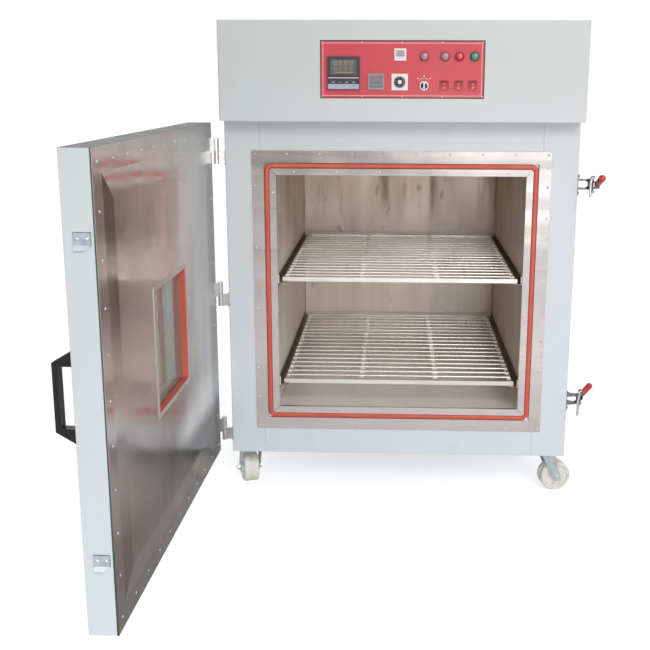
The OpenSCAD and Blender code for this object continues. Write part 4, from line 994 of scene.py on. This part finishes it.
# The door's own axes: x from the hinge to the free edge, -y out of its inner face
DOOR_OPEN = 91.5
DOOR_HINGE_EDGE = 0.03
DOOR_FREE_EDGE = 1.122
RIM = 0.009
SEAM_W = 0.0032
SEAM_PROUD = 0.0002
axis = Vector(joints["door"]["pos_m"])
door_place = Matrix.Translation((axis.x, axis.y, 0)) @ Matrix.Rotation(math.radians(-DOOR_OPEN), 4, "Z")
# Painted shadow: dark strips where the door's joint and the strikes' edges are shaded
painted_shadow_dark = moulded("painted_shadow_dark", rgb(52, 74, 80), 0.6)


def door_seam_shadow():
    """Dark strip of painted shadow in the joint between the door's painted shell and its inner sheet, at the free
    edge, top and bottom.
    """
    low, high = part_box("door_shell")
    far = -RIM - 0.0012
    near = far - SEAM_W
    bottom, top = low.z - SEAM_PROUD, high.z + SEAM_PROUD
    shape = bmesh.new()
    add_block(shape, (DOOR_FREE_EDGE - 0.001, near, bottom), (DOOR_FREE_EDGE + 0.0003, far, top), 0.0001)
    for z in (bottom, top - 0.0012):
        add_block(shape, (DOOR_HINGE_EDGE, near, z), (DOOR_FREE_EDGE - 0.0012, far, z + 0.0012), 0.0001)
    piece("door_seam_shadow", shape, painted_shadow_dark, "door", door_place)


# How much narrower and lower the liner is than the window's frame
LINER_INSET = (0.0259, 0.0242)
LINER_DEPTH = 0.0148
LINER_WALL = 0.0015
LINER_SINK = 0.0044


def window_liner():
    """Red silicone channel round the inner pane, from the frame's lip down to the glass."""
    low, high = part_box("window_frame")
    w, h = high.y - low.y - LINER_INSET[0], high.z - low.z - LINER_INSET[1]
    at = door_place.inverted() @ Vector((high.x, (low.y + high.y) / 2, 0))
    shape = bmesh.new()
    inner = rectangle(w - 2 * LINER_WALL, h - 2 * LINER_WALL, 0.001)
    add_ring(shape, rectangle(w, h, 0.001), inner, LINER_DEPTH)
    place = door_place @ Matrix.Translation((at.x, at.y - LINER_SINK, (low.z + high.z) / 2))
    piece("window_liner", shape, finishes["silicone_red"], "door", place)


STRIKE_Z = {"lower": 0.332, "upper": 1.036}
STRIKE_Y = -0.038
STRIKE_HALF_W = 0.019
STRIKE_BELOW = 0.0094
STRIKE_ABOVE = 0.0191
STRIKE_SHADOW_HALF = 0.0005


def strike_shadow_plates():
    """Thin dark plate under each strike, just proud of its outline: painted shadow round its edge."""
    for side, z in STRIKE_Z.items():
        shape = bmesh.new()
        add_block(shape, (DOOR_FREE_EDGE - STRIKE_SHADOW_HALF, STRIKE_Y - STRIKE_HALF_W, z - STRIKE_BELOW),
                  (DOOR_FREE_EDGE + STRIKE_SHADOW_HALF, STRIKE_Y + STRIKE_HALF_W, z + STRIKE_ABOVE), 0.0004)
        piece(f"strike_shadow_plate_{side}", shape, painted_shadow_dark, "door", door_place)


latch_grips()
flange_rivets()
flange_mitres()
rail_tabs()
door_seam_shadow()
window_liner()
strike_shadow_plates()
chamber_beads()
shelf_welds()


# ---------- light, floor and camera ----------

AMBIENT = 0.5
FLOOR_LIFT = 0.55
FLOOR_HALF = 30
# Name, place, width and height, what it is aimed at, and power in watts
SOFT_LAMPS = (
    ("key", (1.4, -4.2, 3.2), (2.4, 1.6), (0.1, 0.3, 0.6), 80),
    ("low", (0.9, -3.7, 0.8), (2.0, 1.0), (0.0, 0.4, 0.5), 19.5),
    ("left", (-2.6, -4.0, 2.2), (2.0, 2.0), (-0.5, 0.0, 0.6), 6),
)


def sky():
    """White surroundings for the camera, mirrors and glass, and a dimmer sky that lights the oven."""
    world = bpy.data.worlds.new("studio")
    bpy.context.scene.world = world
    world.use_nodes = True
    tree = world.node_tree
    path = tree.nodes.new("ShaderNodeLightPath")
    seen = path.outputs["Is Camera Ray"]
    for ray in ("Is Glossy Ray", "Is Transmission Ray"):
        either = tree.nodes.new("ShaderNodeMath")
        either.operation = "MAXIMUM"
        tree.links.new(seen, either.inputs[0])
        tree.links.new(path.outputs[ray], either.inputs[1])
        seen = either.outputs[0]
    level = tree.nodes.new("ShaderNodeMapRange")
    tree.links.new(seen, level.inputs["Value"])
    level.inputs["To Min"].default_value = AMBIENT
    level.inputs["To Max"].default_value = 1.0
    back = tree.nodes["Background"]
    back.inputs["Color"].default_value = (1, 1, 1, 1)
    tree.links.new(level.outputs["Result"], back.inputs["Strength"])


def soft_lamps():
    """Large area lamps in front of the oven, each aimed at a point on it."""
    for name, place, size, target, power in SOFT_LAMPS:
        lamp = bpy.data.lights.new(name, "AREA")
        lamp.shape = "RECTANGLE"
        lamp.size, lamp.size_y = size
        lamp.energy = power
        thing = bpy.data.objects.new(name, lamp)
        thing.location = place
        aim = Vector(target) - Vector(place)
        thing.rotation_euler = aim.to_track_quat("-Z", "Y").to_euler()
        bpy.context.scene.collection.objects.link(thing)


def floor():
    """Pale paper under the oven, lifted towards white for the camera so that only the shadow shows."""
    shape = bmesh.new()
    bmesh.ops.create_grid(shape, x_segments=1, y_segments=1, size=FLOOR_HALF)
    ground = bpy.data.objects.new("floor", to_mesh("floor", shape))
    bpy.context.scene.collection.objects.link(ground)
    paper = Finish("floor_paper", (0.9, 0.9, 0.9, 1), 0.9)
    seen = paper.node("LightPath").outputs["Is Camera Ray"]
    paper.feed(paper.shader.inputs["Emission Strength"], paper.spread(seen, 0.0, FLOOR_LIFT))
    paper.shader.inputs["Emission Color"].default_value = (1, 1, 1, 1)
    ground.data.materials.append(paper.material)


CAMERA_AT = Vector((-0.0134, -3.014, 1.3585))
CAMERA_TURN = 1.9
CAMERA_TIP = -12.7
CAMERA_ROLL = 0.2
SENSOR_MM = 36
# The photograph's side, its focal length and its centre's shift, in its own pixels
PHOTO_SIDE = 650
FOCAL_LENGTH = 966.9
SHIFT = (-38.9, -29.5)


def camera():
    """Stands in front of the oven at the height of its head, turned slightly aside, looking down on it."""
    yaw, pitch, roll = (math.radians(angle) for angle in (CAMERA_TURN, CAMERA_TIP, CAMERA_ROLL))
    data = bpy.data.cameras.new("camera")
    data.sensor_width = SENSOR_MM
    data.lens = SENSOR_MM * FOCAL_LENGTH / PHOTO_SIDE
    data.shift_x, data.shift_y = (pixels / PHOTO_SIDE for pixels in SHIFT)
    forward = Vector((-math.sin(yaw) * math.cos(pitch), math.cos(yaw) * math.cos(pitch), math.sin(pitch)))
    level = Vector((math.cos(yaw), math.sin(yaw), 0))
    up = level.cross(forward)
    right = level * math.cos(roll) + up * math.sin(roll)
    top = up * math.cos(roll) - level * math.sin(roll)
    turned = Matrix((right, top, -forward)).transposed().to_4x4()
    thing = bpy.data.objects.new("camera", data)
    thing.matrix_world = Matrix.Translation(CAMERA_AT) @ turned
    bpy.context.scene.collection.objects.link(thing)
    bpy.context.scene.camera = thing


sky()
soft_lamps()
floor()
camera()
bpy.context.scene.view_settings.view_transform = "Standard"
